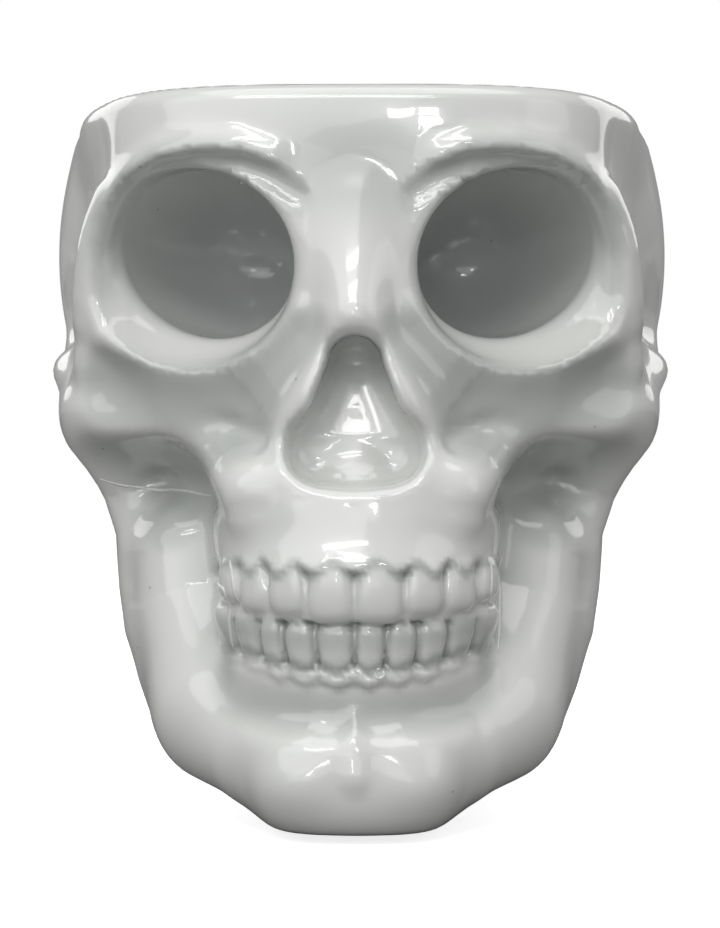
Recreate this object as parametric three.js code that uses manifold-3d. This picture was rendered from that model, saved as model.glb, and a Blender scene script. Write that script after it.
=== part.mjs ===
import * as THREE from 'three';
import { mergeVertices } from 'three/addons/utils/BufferGeometryUtils.js';
import Module from 'manifold-3d';

// A life-size skull pot in glazed white ceramic, one hollow casting with its top cut off level.
// The face looks along -Y and the origin is on the table, under the middle of the pot.
// Lengths are in millimetres and angles in degrees.

// Overall sizes of the pot
const skullWidth = 140;
const skullDepth = 165;
const skullHeight = 150;
const wall = 5.5;
const floorThickness = 6.5;
const rimRounding = 4;
const innerRimRounding = 4;
const footRounding = 1.5;
const innerFloorRounding = 5;
const hollowBlend = 12;

// Eye sockets, at the dark opening
const socketWidth = 41;
const socketHeight = 34;
const socketDepth = 62;
const socketSpacing = 57;
const socketLevel = 117.3;
const socketTurnAngle = 18;
const socketRollAngle = 8;

// Nose opening, with its lobes low at each side
const noseWidth = 26.6;
const noseTopLevel = 99.7;
const noseLevel = 80;
const noseDepth = 21;
const noseLipRounding = 3;

// Teeth
const muzzleWidth = 55;
const upperRowWidth = 58;
const upperRowDepth = 33;
const lowerRowWidth = 55;
const lowerRowDepth = 31;
const toothThickness = 8.4;
const toothHeight = 12;
const upperGumLevel = 54.8;
const lowerGumLevel = 33.5;
const gumHeight = 14;
const gumSetback = 1.6;
const gumRounding = 5;
const toothGapDepth = 2;

// Drain hole and its rubber stopper
const drainDiameter = 12;
const drainSetback = 0;
const stopperClearance = 0.3;
const stopperFlangeDiameter = 20;
const stopperFlangeThickness = 2.4;
const stopperKnobDiameter = 7;
const stopperKnobHeight = 6;
const stopperEdgeRounding = 0.8;

// Stick-on foot pads
const padDiameter = 10;
const padThickness = 1.2;
const padGlueGap = 0.3;
const padEdgeRounding = 0.4;
const frontPadSpacing = 26;
const rearPadSpacing = 26;

// Fineness of the surface
const roundSegments = 32;
const cell = 2.2;
const skullTriangles = 11800;

// Places are shares of half the width, the depth and the height, from the origin. Radii are shares of
// the same three sizes, and the thickness of a limb and each blend are shares of the height.
// Every form is mirrored to the other side, and they follow one another in this order.
const formShares = [
  { name: 'braincase', at: [0, 0.091, 0.813], radii: [1, 0.406, 0.5], blend: 0.04 },
  { name: 'temples', at: [0, 0.006, 0.867], radii: [0.893, 0.364, 0.333], power: 3, blend: 0.04 },
  { name: 'forehead', at: [0, -0.139, 0.84], radii: [0.8, 0.288, 0.4], power: 3, blend: 0.053 },
  { name: 'cheeks', at: [0, -0.158, 0.643], radii: [0.864, 0.245, 0.143], blend: 0.047 },
  { name: 'cheekbone', at: [0.636, -0.206, 0.57], radii: [0.243, 0.097, 0.073], blend: 0.033 },
  {
    name: 'cheek arch', blend: 0.033,
    points: [[0.793, -0.206, 0.58], [0.9, -0.073, 0.643], [0.864, 0.03, 0.66]],
    thickness: [0.044, 0.037, 0.04],
  },
  {
    name: 'outer rim of the socket', blend: 0.033,
    points: [[0.764, -0.248, 0.64], [0.764, -0.264, 0.733], [0.721, -0.285, 0.84]],
    thickness: [0.037, 0.033, 0.037],
  },
  {
    name: 'bridge of the nose', blend: 0.047,
    points: [[0, -0.388, 0.827], [0, -0.436, 0.693]],
    thickness: [0.043, 0.04],
  },
  { name: 'snout', at: [0, -0.297, 0.56], radii: [0.343, 0.179, 0.2], blend: 0.04 },
  { name: 'upper jaw', at: [0, -0.273, 0.453], radii: [0.407, 0.195, 0.09], power: 3, blend: 0.033 },
  { name: 'core behind the teeth', at: [0, -0.285, 0.28], radii: [0.357, 0.167, 0.133], blend: 0.027 },
  { name: 'core of the lower face', at: [0, -0.03, 0.373], radii: [0.686, 0.267, 0.32], blend: 0.053 },
  {
    name: 'edge of the jaw branch', blend: 0.06,
    points: [
      [0.789, -0.17, 0.54], [0.706, -0.148, 0.46], [0.663, -0.158, 0.4], [0.65, -0.164, 0.327],
      [0.62, -0.176, 0.267], [0.546, -0.188, 0.2], [0.5, -0.206, 0.15],
    ],
    thickness: [0.041, 0.04, 0.04, 0.041, 0.044, 0.044, 0.043],
  },
  {
    name: 'jaw from the chin to its angle', blend: 0.04,
    points: [
      [0, -0.388, 0.107], [0.143, -0.376, 0.107], [0.279, -0.339, 0.12], [0.4, -0.279, 0.14],
      [0.479, -0.182, 0.2], [0.529, -0.079, 0.267],
    ],
    thickness: [0.083, 0.083, 0.083, 0.082, 0.082, 0.08],
  },
  { name: 'chin', at: [0, -0.376, 0.091], radii: [0.279, 0.103, 0.089], power: 3, blend: 0.06 },
  { name: 'corner of the chin', at: [0.15, -0.43, 0.083], radii: [0.107, 0.048, 0.037], blend: 0.033 },
  {
    name: 'middle ridge of the chin', blend: 0.02,
    points: [[0, -0.461, 0.167], [0, -0.473, 0.093]],
    thickness: [0.009, 0.015],
  },
  { name: 'neck', at: [0, 0.006, 0.233], radii: [0.471, 0.327, 0.267], power: 3, blend: 0.08 },
  {
    name: 'upper rim of the socket', blend: 0.027,
    points: [
      [0.692, -0.319, 0.853], [0.63, -0.349, 0.88], [0.54, -0.375, 0.9],
      [0.443, -0.391, 0.908], [0.333, -0.4, 0.906], [0.25, -0.402, 0.895],
    ],
    thickness: [0.023, 0.023, 0.025, 0.027, 0.027, 0.027],
  },
  {
    name: 'lower rim of the socket', blend: 0.027,
    points: [
      [0.756, -0.296, 0.784], [0.763, -0.284, 0.723], [0.721, -0.293, 0.673],
      [0.619, -0.339, 0.641], [0.49, -0.372, 0.629], [0.363, -0.393, 0.638],
      [0.254, -0.405, 0.655], [0.175, -0.412, 0.685],
    ],
    thickness: [0.02, 0.023, 0.024, 0.025, 0.025, 0.024, 0.023, 0.02],
  },
  {
    name: 'flare of the socket', cut: true, at: [0.486, -0.379, 0.751], radii: [0.323, 0.085, 0.127],
    turn: 22, blend: 0.027,
  },
  {
    name: 'fold under the brow', cut: true, blend: 0.013,
    points: [
      [0.74, -0.33, 0.803], [0.712, -0.341, 0.835], [0.656, -0.366, 0.864],
      [0.561, -0.395, 0.884], [0.443, -0.414, 0.892], [0.327, -0.425, 0.888],
      [0.241, -0.43, 0.873], [0.168, -0.434, 0.851],
    ],
    thickness: [0.012, 0.013, 0.015, 0.016, 0.016, 0.016, 0.015, 0.013],
  },
  {
    name: 'groove under the socket', cut: true, blend: 0.033,
    points: [
      [0.781, -0.329, 0.601], [0.646, -0.37, 0.575], [0.508, -0.403, 0.565],
      [0.398, -0.423, 0.57], [0.296, -0.442, 0.616], [0.195, -0.457, 0.668],
    ],
    thickness: [0.047, 0.053, 0.06, 0.06, 0.04, 0.033],
  },
  {
    name: 'hollow under the cheekbone', cut: true, blend: 0.033,
    points: [[0.786, -0.261, 0.463], [0.586, -0.288, 0.457], [0.443, -0.333, 0.46]],
    thickness: [0.053, 0.063, 0.047],
  },
  {
    name: 'temple', cut: true, blend: 0.047,
    points: [
      [0.954, -0.304, 0.913], [0.979, -0.24, 0.89], [1.026, -0.139, 0.86],
      [1.048, -0.104, 0.794], [1.042, -0.068, 0.724],
    ],
    thickness: [0.087, 0.08, 0.08, 0.08, 0.067],
  },
  {
    name: 'edge of the temple', blend: 0.02,
    points: [
      [0.717, -0.308, 0.858], [0.754, -0.299, 0.815], [0.781, -0.282, 0.757],
      [0.789, -0.269, 0.696],
    ],
    thickness: [0.023, 0.023, 0.023, 0.023],
  },
  {
    name: 'hollow beside the chin ridge', cut: true, blend: 0.027,
    points: [[0.298, -0.463, 0.205], [0.174, -0.476, 0.203], [0.09, -0.485, 0.186]],
    thickness: [0.06, 0.053, 0.04],
  },
  {
    name: 'fold above the chin', cut: true, blend: 0.027,
    points: [[0.314, -0.413, 0.23], [0.181, -0.457, 0.224], [0, -0.468, 0.228]],
    thickness: [0.053, 0.053, 0.053],
  },
  {
    name: 'hollow above the cheek knob', cut: true, blend: 0.02,
    points: [[0.449, -0.378, 0.54], [0.384, -0.377, 0.533], [0.322, -0.419, 0.529]],
    thickness: [0.027, 0.027, 0.027],
  },
  {
    name: 'cheek knob', blend: 0.027,
    points: [
      [0.409, -0.313, 0.522], [0.328, -0.383, 0.483], [0.295, -0.412, 0.459],
      [0.286, -0.413, 0.429], [0.292, -0.334, 0.407],
    ],
    thickness: [0.033, 0.04, 0.04, 0.033, 0.033],
  },
  {
    name: 'front of the jaw branch', blend: 0.06,
    points: [[0.414, -0.285, 0.18], [0.5, -0.224, 0.293], [0.529, -0.212, 0.373]],
    thickness: [0.08, 0.073, 0.063],
  },
];
const socketPlaceShare = -0.309;
const frontPadPlaceShare = -0.182;
const rearPadPlaceShare = 0.179;
const socketBlendShare = 0.016;
const moundShares = {
  points: [[0, -0.376, 0.563], [0, -0.364, 0.493]],
  thickness: [0.011, 0.067],
  blend: 0.013,
};
const lobeWidthShare = 0.55;
const lobeDropShare = 0.1;
const noseTopWidthShare = 0.2;
const noseFloorShare = 0.74;

// One row of teeth at the right side, from the middle. Widths are shares of the row's width, and
// the necks and edges are shares of a tooth's height above the gum line of the front teeth.
const upperTeethShares = [
  { width: 0.149, neck: 0.02, edge: -0.95 },
  { width: 0.121, neck: -0.01, edge: -0.84 },
  { width: 0.097, neck: 0.02, edge: -0.82 },
  { width: 0.072, neck: -0.02, edge: -0.67 },
];
const lowerTeethShares = [
  { width: 0.111, neck: 0, edge: 0.86 },
  { width: 0.1, neck: 0.03, edge: 0.86 },
  { width: 0.086, neck: 0.09, edge: 0.9 },
  { width: 0.088, neck: 0.21, edge: 1 },
  { width: 0.078, neck: 0.29, edge: 1.1 },
];
const toothPower = 3;
const toothBlendShare = 0.07;
const toothOverlapShare = 0.05;
const toothRootShare = 0.06;
const upperTaperShare = 0.14;
const lowerTaperShare = -0.16;
const lowerLeanShare = 0.28;
const gumLeanShare = 0.38;
const lowerGumBendShare = 0.39;
const upperRowFrontShare = -0.47;
const lowerRowFrontShare = -0.453;

const halfWidth = skullWidth / 2;
const frame = [halfWidth, skullDepth, skullHeight];
const standoff = padThickness + padGlueGap;
const place = (shares) => shares.map((share, axis) => share * frame[axis]);

const { degToRad, radToDeg } = THREE.MathUtils;
const minus = (a, b) => [a[0] - b[0], a[1] - b[1], a[2] - b[2]];
const dot = (a, b) => a[0] * b[0] + a[1] * b[1] + a[2] * b[2];
const cross = (a, b) => [a[1] * b[2] - a[2] * b[1], a[2] * b[0] - a[0] * b[2], a[0] * b[1] - a[1] * b[0]];

// Smooth union and intersection of two distances
function join(a, b, blend) {
  const near = Math.max(blend - Math.abs(a - b), 0);
  return Math.min(a, b) - (near * near) / (4 * blend);
}

function meet(a, b, blend) {
  return -join(-a, -b, blend);
}

const raised = { 2: (u) => u, 3: (u) => u * u, 4: (u) => u * u * u };
const rooted = { 2: Math.sqrt, 3: Math.cbrt, 4: (sum) => Math.sqrt(Math.sqrt(sum)) };

// Distance to an ellipsoid, squarer where its power is 3 or 4 instead of 2. It is rolled about Y, then
// turned about the vertical. It narrows upwards with its taper, and leans forward upwards.
function blob({ at, radii, power = 2, turn = 0, roll = 0, taper = 0, lean = 0 }) {
  const [rx, ry, rz] = radii;
  const raise = raised[power];
  const root = rooted[power];
  const [turnCos, turnSin] = [Math.cos(degToRad(turn)), Math.sin(degToRad(turn))];
  const [rollCos, rollSin] = [Math.cos(degToRad(roll)), Math.sin(degToRad(roll))];
  const least = Math.min(rx, ry, rz);
  return (x, y, z) => {
    const dx = rollCos * (x - at[0]) + rollSin * (z - at[2]);
    const dy = y - at[1];
    const dz = rollCos * (z - at[2]) - rollSin * (x - at[0]);
    const u = Math.abs(turnCos * dx + turnSin * dy) / rx / (1 - taper * dz / rz);
    const v = Math.abs(turnCos * dy - turnSin * dx + lean * dz) / ry;
    const w = Math.abs(dz) / rz;
    const un = raise(u);
    const vn = raise(v);
    const wn = raise(w);
    const size = root(un * u + vn * v + wn * w);
    if (size === 0) {
      return -least;
    }
    const slope = Math.sqrt((un / rx) ** 2 + (vn / ry) ** 2 + (wn / rz) ** 2);
    return (size - 1) * raise(size) / slope;
  };
}

// Distance to a chain of round bars that swell or taper from point to point
function limb({ points, thickness }) {
  const bars = points.slice(1).map((end, i) => {
    const start = points[i];
    const step = minus(end, start);
    const growth = thickness[i + 1] - thickness[i];
    return { start, step, square: dot(step, step), from: thickness[i], growth };
  });
  return (x, y, z) => {
    let nearest = Infinity;
    for (const { start, step, square, from, growth } of bars) {
      const dx = x - start[0];
      const dy = y - start[1];
      const dz = z - start[2];
      const share = Math.min(Math.max((dx * step[0] + dy * step[1] + dz * step[2]) / square, 0), 1);
      const gx = dx - share * step[0];
      const gy = dy - share * step[1];
      const gz = dz - share * step[2];
      nearest = Math.min(nearest, Math.sqrt(gx * gx + gy * gy + gz * gz) - from - share * growth);
    }
    return nearest;
  };
}

function formFromShares(shares) {
  const blend = shares.blend * skullHeight;
  if (shares.points) {
    const points = shares.points.map(place);
    const thickness = shares.thickness.map((share) => share * skullHeight);
    return { cut: shares.cut, blend, distance: limb({ points, thickness }) };
  }
  const distance = blob({ ...shares, at: place(shares.at), radii: place(shares.radii) });
  return { cut: shares.cut, blend, distance };
}

const forms = formShares.map(formFromShares);

const socket = blob({
  at: [socketSpacing / 2, socketPlaceShare * skullDepth, socketLevel],
  radii: [socketWidth / 2, socketDepth / 2, socketHeight / 2],
  turn: socketTurnAngle,
  roll: socketRollAngle,
});

// The nose is pear-shaped from the front, with a mound left standing low in its middle.
const mound = formFromShares(moundShares);

function noseCut(x, y, z) {
  const bulb = noseWidth / 2;
  const lobe = bulb * lobeWidthShare;
  const tip = noseWidth * noseTopWidthShare;
  const pearShare = Math.min(Math.max((z - noseLevel) / (noseTopLevel - tip - noseLevel), 0), 1);
  const pearHeight = noseLevel + pearShare * (noseTopLevel - tip - noseLevel);
  const body = bulb - lobe / 3;
  const pear = Math.hypot(x, z - pearHeight) - (body + pearShare * (tip - body));
  const low = Math.hypot(x - bulb + lobe, z - noseLevel + noseWidth * lobeDropShare) - lobe;
  const outline = join(pear, low, lobe / 3);
  const depth = noseDepth * (noseFloorShare + (1 - noseFloorShare) * pearShare);
  const back = y + skullDepth / 2 - depth;
  const pocket = meet(outline, back, noseDepth / 3);
  return meet(pocket, -mound.distance(x, y, z), mound.blend);
}

// Teeth stand side by side along an arched row, each turned to face straight out of it.
function toothRow({ shares, width, depth, front, gumLevel, rootSide, taper, lean }) {
  const setback = (x) => depth * (1 - Math.sqrt(1 - Math.min(Math.abs(x) / (width / 2), 1) ** 2));
  let inner = 0;
  return shares.map((tooth) => {
    const breadth = tooth.width * width;
    const x = inner + breadth / 2;
    inner += breadth;
    const rise = setback(x + breadth / 4) - setback(x - breadth / 4);
    const turn = Math.atan2(rise, breadth / 2);
    const neck = gumLevel + tooth.neck * toothHeight;
    const edge = gumLevel + tooth.edge * toothHeight;
    const root = rootSide * toothRootShare * toothHeight;
    return blob({
      at: [x, front + setback(x), (neck + edge) / 2 + root],
      radii: [
        breadth * (1 / 2 + toothOverlapShare) / Math.cos(turn),
        toothThickness / 2,
        Math.abs(neck - edge) / 2 + Math.abs(root),
      ],
      power: toothPower,
      turn: radToDeg(turn),
      taper,
      lean,
    });
  });
}

const upperRow = {
  shares: upperTeethShares, width: upperRowWidth, depth: upperRowDepth,
  front: upperRowFrontShare * skullDepth, gumLevel: upperGumLevel, rootSide: 1, taper: upperTaperShare,
};
const lowerRow = {
  shares: lowerTeethShares, width: lowerRowWidth, depth: lowerRowDepth, lean: lowerLeanShare,
  front: lowerRowFrontShare * skullDepth, gumLevel: lowerGumLevel, rootSide: -1, taper: lowerTaperShare,
};
const teeth = [...toothRow(upperRow), ...toothRow(lowerRow)];

// Distance to a level slab with the curve of a row of teeth, set back from the teeth's front
function arch({ width, depth, front }, { setback, low, high, rounding }) {
  const offset = toothThickness / 2 - setback;
  const across = width / 2 + offset;
  const along = depth + offset;
  return (x, y, z) => {
    const u = x / across;
    const v = (y - front - depth) / along;
    const size = Math.hypot(u, v);
    const curve = size > 0 ? (size - 1) * size / Math.hypot(u / across, v / along) : -depth;
    const slab = Math.max(low - z, z - high);
    return meet(meet(curve, slab, rounding), Math.abs(x) - muzzleWidth / 2, rounding);
  };
}

// The gums lean back from the teeth, and a backing fills the gaps between the teeth.
const gum = { setback: gumSetback, rounding: gumRounding };
const backing = { setback: toothGapDepth, rounding: toothBlendShare * toothHeight };
const biteLevel = (upperGumLevel + lowerGumLevel) / 2;
const upperGum = arch(upperRow, { ...gum, low: upperGumLevel, high: upperGumLevel + gumHeight });
const lowerGum = arch(lowerRow, { ...gum, low: lowerGumLevel - gumHeight, high: lowerGumLevel });
const upperBacking = arch(upperRow, { ...backing, low: biteLevel, high: upperGumLevel + wall });
const lowerBacking = arch(lowerRow, { ...backing, low: lowerGumLevel - wall, high: biteLevel });

function gumDistance(x, y, z) {
  const bend = lowerGumBendShare * toothHeight * (2 * x / lowerRowWidth) ** 2;
  const upper = upperGum(x, y - gumLeanShare * (z - upperGumLevel), z);
  return Math.min(upper, lowerGum(x, y + gumLeanShare * (z - lowerGumLevel), z - bend));
}

function backingDistance(x, y, z) {
  const tilt = lowerLeanShare * (z - biteLevel + toothHeight / 2);
  return Math.min(upperBacking(x, y, z), lowerBacking(x, y + tilt, z));
}

// The face with its gums and teeth, worked out only near them
function withTeeth(outer, x, y, z) {
  const near = gumHeight + gumRounding;
  if (z < lowerGumLevel - near || z > upperGumLevel + near || y > lowerRow.front + lowerRowDepth) {
    return outer;
  }
  const toothBlend = toothBlendShare * toothHeight;
  const face = join(join(outer, gumDistance(x, y, z), gumRounding), backingDistance(x, y, z), toothBlend);
  return teeth.reduce((nearest, tooth) => join(nearest, tooth(x, y, z), toothBlend), face);
}

// Distances to the outside of a solid skull with no cut top, and to the hollow a wall's thickness inside it
function skullSides(signedX, y, z) {
  const x = Math.abs(signedX);
  const smooth = hollowBlend;
  let outer = skullHeight;
  let inner = skullHeight;
  const add = (own, blend) => {
    outer = join(outer, own, blend);
    inner = join(inner, own + wall, blend);
  };
  const cut = (own, blend) => {
    outer = meet(outer, -own, blend);
    inner = meet(inner, wall - own, smooth);
  };
  for (const form of forms) {
    (form.cut ? cut : add)(form.distance(x, y, z), form.blend);
  }
  cut(socket(x, y, z), socketBlendShare * skullHeight);
  cut(noseCut(x, y, z), noseLipRounding);
  return { outer: withTeeth(outer, x, y, z), inner };
}

// Distance to the surface of the hollow casting, open at the top
function pot(x, y, z) {
  const { outer, inner } = skullSides(x, y, z);
  const floorLevel = standoff + floorThickness;
  const trimmed = meet(meet(outer, z - skullHeight, rimRounding), standoff - z, footRounding);
  const hollow = meet(inner, floorLevel - z, innerFloorRounding);
  return meet(trimmed, -hollow, innerRimRounding);
}

const blockCellCount = 4;
const blockReachShare = 1.3;
const edgeInsetShare = 0.03;

// Grid cells are shallower at the face, and the face keeps more of its triangles.
const frontShare = 0.7;
const faceWeight = 5;
const faceDepthShare = 0.3;

// How far the simpler surface may stray, and how it is drawn back
const middleHoldShare = 0.001;
const settleRounds = 3;
const settleReachShare = 0.15;
const slopeStepShare = 0.02;
const roundShare = 0.3;
const leastCosine = 0.3;

// Closed surface where a distance function is zero inside a box
function traceSurface(distanceAt, low, high) {
  const block = blockCellCount * cell;
  const cells = low.map((edge, axis) => Math.ceil((high[axis] - edge) / block) * blockCellCount);
  const rowLength = cells[0] + 1;
  const layerLength = rowLength * (cells[1] + 1);
  const values = new Float32Array(layerLength * (cells[2] + 1)).fill(NaN);
  const at = (steps) => steps.map((step, axis) => {
    const stretch = axis === 1 ? frontShare + (1 - frontShare) * step / cells[1] : 1;
    return low[axis] + step * cell * stretch;
  });
  const corner = (i, j, k) => {
    const index = i + rowLength * j + layerLength * k;
    if (Number.isNaN(values[index])) {
      values[index] = distanceAt(...at([i, j, k]));
    }
    return { index, steps: [i, j, k], value: values[index] };
  };
  const points = [];
  const triangles = [];
  const known = new Map();
  const crossing = (a, b) => {
    const [from, to] = a.index < b.index ? [a, b] : [b, a];
    const [i, j, k] = minus(to.steps, from.steps);
    const key = from.index * 8 + i + 2 * j + 4 * k;
    if (!known.has(key)) {
      const exact = from.value / (from.value - to.value);
      const share = Math.min(Math.max(exact, edgeInsetShare), 1 - edgeInsetShare);
      known.set(key, points.length);
      points.push(at([from.steps[0] + i * share, from.steps[1] + j * share, from.steps[2] + k * share]));
    }
    return known.get(key);
  };
  const addTetrahedron = (corners) => {
    const inside = corners.filter((one) => one.value < 0);
    const outside = corners.filter((one) => one.value >= 0);
    const [first, ...rest] = [...inside, ...outside].map((one) => one.steps);
    const [u, v, w] = rest.map((steps) => minus(steps, first));
    const rightHanded = dot(cross(u, v), w) > 0;
    const addFace = (p, q, r) => triangles.push(rightHanded ? [p, q, r] : [p, r, q]);
    if (inside.length === 1) {
      addFace(...outside.map((one) => crossing(inside[0], one)));
    } else if (outside.length === 1) {
      addFace(...inside.map((one) => crossing(outside[0], one)));
    } else if (inside.length === 2) {
      const [a, b] = inside;
      const [c, d] = outside;
      addFace(crossing(a, c), crossing(a, d), crossing(b, d));
      addFace(crossing(a, c), crossing(b, d), crossing(b, c));
    }
  };
  // Six tetrahedra fill a cube, one for each way to step from its first corner to its last.
  // Bit 1 of a corner's number steps along X, bit 2 along Y and bit 4 along Z.
  const addTetrahedra = (corners) => {
    const steps = [1, 2, 4];
    steps.forEach((one) => steps.filter((two) => two !== one).forEach((two) => {
      addTetrahedron([corners[0], corners[one], corners[one + two], corners[7]]);
    }));
  };
  const addCube = (i, j, k) => {
    const corners = [];
    for (let bits = 0; bits < 8; bits += 1) {
      corners.push(corner(i + (bits & 1), j + ((bits >> 1) & 1), k + (bits >> 2)));
    }
    const insideCount = corners.filter((one) => one.value < 0).length;
    if (insideCount > 0 && insideCount < 8) {
      addTetrahedra(corners);
    }
  };
  const blockReach = blockReachShare * blockCellCount * cell * Math.sqrt(3) / 2;
  for (let k = 0; k < cells[2]; k += blockCellCount) {
    for (let j = 0; j < cells[1]; j += blockCellCount) {
      for (let i = 0; i < cells[0]; i += blockCellCount) {
        const middle = at([i + blockCellCount / 2, j + blockCellCount / 2, k + blockCellCount / 2]);
        if (Math.abs(distanceAt(...middle)) < blockReach) {
          for (let step = 0; step < blockCellCount ** 3; step += 1) {
            const di = step % blockCellCount;
            const dj = Math.floor(step / blockCellCount) % blockCellCount;
            const dk = Math.floor(step / blockCellCount ** 2);
            addCube(i + di, j + dj, k + dk);
          }
        }
      }
    }
  }
  return { points, triangles };
}

// The shell with the most faces. Clay fills any small bubble that the forms leave between them.
function largestShell({ points, triangles }) {
  const leader = new Int32Array(points.length).map((none, id) => id);
  const leaderOf = (id) => {
    let top = id;
    while (leader[top] !== top) {
      leader[top] = leader[leader[top]];
      top = leader[top];
    }
    return top;
  };
  triangles.forEach(([a, b, c]) => {
    leader[leaderOf(a)] = leaderOf(b);
    leader[leaderOf(b)] = leaderOf(c);
  });
  const shells = new Map();
  triangles.forEach((face) => {
    const top = leaderOf(face[0]);
    if (!shells.has(top)) {
      shells.set(top, []);
    }
    shells.get(top).push(face);
  });
  const sizes = [...shells.values()].sort((one, other) => other.length - one.length);
  return { points, triangles: sizes[0] };
}

// Each point's quadric sums the squared distances to the planes of its faces, as ten numbers:
// the upper half of a 3 by 3 matrix, a vector and a constant.
const quadricTermCount = 10;

function planeQuadrics(points, triangles) {
  const quadrics = new Float64Array(points.length * quadricTermCount);
  const faceDepth = (faceDepthShare - 1 / 2) * skullDepth;
  triangles.forEach((face) => {
    const [p, q, r] = face.map((id) => points[id]);
    const normal = cross(minus(q, p), minus(r, p));
    const doubleArea = Math.sqrt(dot(normal, normal));
    if (doubleArea > 0) {
      const [x, y, z] = normal.map((part) => part / doubleArea);
      const offset = -(x * p[0] + y * p[1] + z * p[2]);
      const turning = [x * x, x * y, x * z, y * y, y * z, z * z];
      const terms = [...turning, x * offset, y * offset, z * offset, offset * offset];
      const weight = p[1] < faceDepth ? doubleArea * faceWeight : doubleArea;
      face.forEach((id) => {
        terms.forEach((term, i) => { quadrics[id * quadricTermCount + i] += term * weight; });
      });
    }
  });
  return quadrics;
}

// The point that stands for an edge with the least error, held lightly to the edge's middle
function bestPoint(points, quadrics, a, b) {
  const q = [];
  for (let i = 0; i < quadricTermCount; i += 1) {
    q.push(quadrics[a * quadricTermCount + i] + quadrics[b * quadricTermCount + i]);
  }
  const middle = points[a].map((part, axis) => (part + points[b][axis]) / 2);
  const hold = (q[0] + q[3] + q[5]) * middleHoldShare;
  const [xx, xy, xz, yy, yz, zz] = [q[0] + hold, q[1], q[2], q[3] + hold, q[4], q[5] + hold];
  const right = [hold * middle[0] - q[6], hold * middle[1] - q[7], hold * middle[2] - q[8]];
  const cofactors = [yy * zz - yz * yz, xz * yz - xy * zz, xy * yz - xz * yy];
  const size = xx * cofactors[0] + xy * cofactors[1] + xz * cofactors[2];
  const [yyc, yzc, zzc] = [xx * zz - xz * xz, xy * xz - xx * yz, xx * yy - xy * xy];
  const point = [
    (cofactors[0] * right[0] + cofactors[1] * right[1] + cofactors[2] * right[2]) / size,
    (cofactors[1] * right[0] + yyc * right[1] + yzc * right[2]) / size,
    (cofactors[2] * right[0] + yzc * right[1] + zzc * right[2]) / size,
  ];
  const [x, y, z] = point;
  const straight = q[0] * x * x + q[3] * y * y + q[5] * z * z;
  const mixed = q[1] * x * y + q[2] * x * z + q[4] * y * z;
  const error = straight + 2 * mixed + 2 * (q[6] * x + q[7] * y + q[8] * z) + q[9];
  const stray = minus(point, middle);
  return { point, cost: Math.max(error, 0) + hold * dot(stray, stray), a, b };
}

// One round of edge collapses, cheapest first, none beside another, that keep the surface closed
function collapseRound(points, quadrics, triangles, wanted) {
  const facesOf = points.map(() => []);
  triangles.forEach((face) => face.forEach((id) => facesOf[id].push(face)));
  const edges = [];
  triangles.forEach(([a, b, c]) => [[a, b], [b, c], [c, a]].forEach(([from, to]) => {
    if (from < to) {
      edges.push(bestPoint(points, quadrics, from, to));
    }
  }));
  edges.sort((one, other) => one.cost - other.cost);
  edges.length = Math.ceil(edges.length * roundShare);
  const replacement = new Int32Array(points.length).map((none, id) => id);
  const settled = new Uint8Array(points.length);
  const normalOf = (corners) => cross(minus(corners[1], corners[0]), minus(corners[2], corners[0]));
  let count = triangles.length;
  for (const { a, b, point } of edges) {
    if (count > wanted && !settled[a] && !settled[b]) {
      const around = new Set(facesOf[a].flat());
      const shared = new Set(facesOf[b].flat().filter((id) => around.has(id)));
      const kept = [...facesOf[a], ...facesOf[b]].filter((face) => !(face.includes(a) && face.includes(b)));
      const holds = kept.every((face) => {
        const before = normalOf(face.map((id) => points[id]));
        const after = normalOf(face.map((id) => (id === a || id === b ? point : points[id])));
        return dot(before, after) > leastCosine * Math.sqrt(dot(before, before) * dot(after, after));
      });
      if (shared.size === 4 && holds) {
        points[a] = point;
        replacement[b] = a;
        for (let i = 0; i < quadricTermCount; i += 1) {
          quadrics[a * quadricTermCount + i] += quadrics[b * quadricTermCount + i];
        }
        [...facesOf[a], ...facesOf[b]].flat().forEach((id) => { settled[id] = 1; });
        count -= 2;
      }
    }
  }
  const renamed = triangles.map((face) => face.map((id) => replacement[id]));
  return renamed.filter(([a, b, c]) => a !== b && b !== c && c !== a);
}

function simplify({ points, triangles }, wanted) {
  const quadrics = planeQuadrics(points, triangles);
  let faces = triangles;
  let before = Infinity;
  while (faces.length > wanted && faces.length < before) {
    before = faces.length;
    faces = collapseRound(points, quadrics, faces, wanted);
  }
  return { points, triangles: faces };
}

// Moves each point of a mesh onto the surface that it stands for, along the steepest slope
function settle({ points, triangles }, distanceAt) {
  const step = slopeStepShare * cell;
  const reach = settleReachShare * cell;
  const settled = points.map((point) => {
    let [x, y, z] = point;
    for (let round = 0; round < settleRounds; round += 1) {
      const here = distanceAt(x, y, z);
      const slope = [
        (distanceAt(x + step, y, z) - here) / step,
        (distanceAt(x, y + step, z) - here) / step,
        (distanceAt(x, y, z + step) - here) / step,
      ];
      const square = Math.max(dot(slope, slope), 1 / 4);
      const move = Math.min(Math.max(-here / square, -reach), reach);
      [x, y, z] = [x + move * slope[0], y + move * slope[1], z + move * slope[2]];
    }
    return [x, y, z];
  });
  return { points: settled, triangles };
}

const wasm = await Module();
wasm.setup();

function solidFromTriangles({ points, triangles }) {
  const used = new Map();
  const corners = triangles.flat().map((id) => {
    if (!used.has(id)) {
      used.set(id, used.size);
    }
    return used.get(id);
  });
  const vertProperties = Float32Array.from([...used.keys()].flatMap((id) => points[id]));
  const triVerts = Uint32Array.from(corners);
  return new wasm.Manifold(new wasm.Mesh({ numProp: 3, vertProperties, triVerts }));
}

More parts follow.
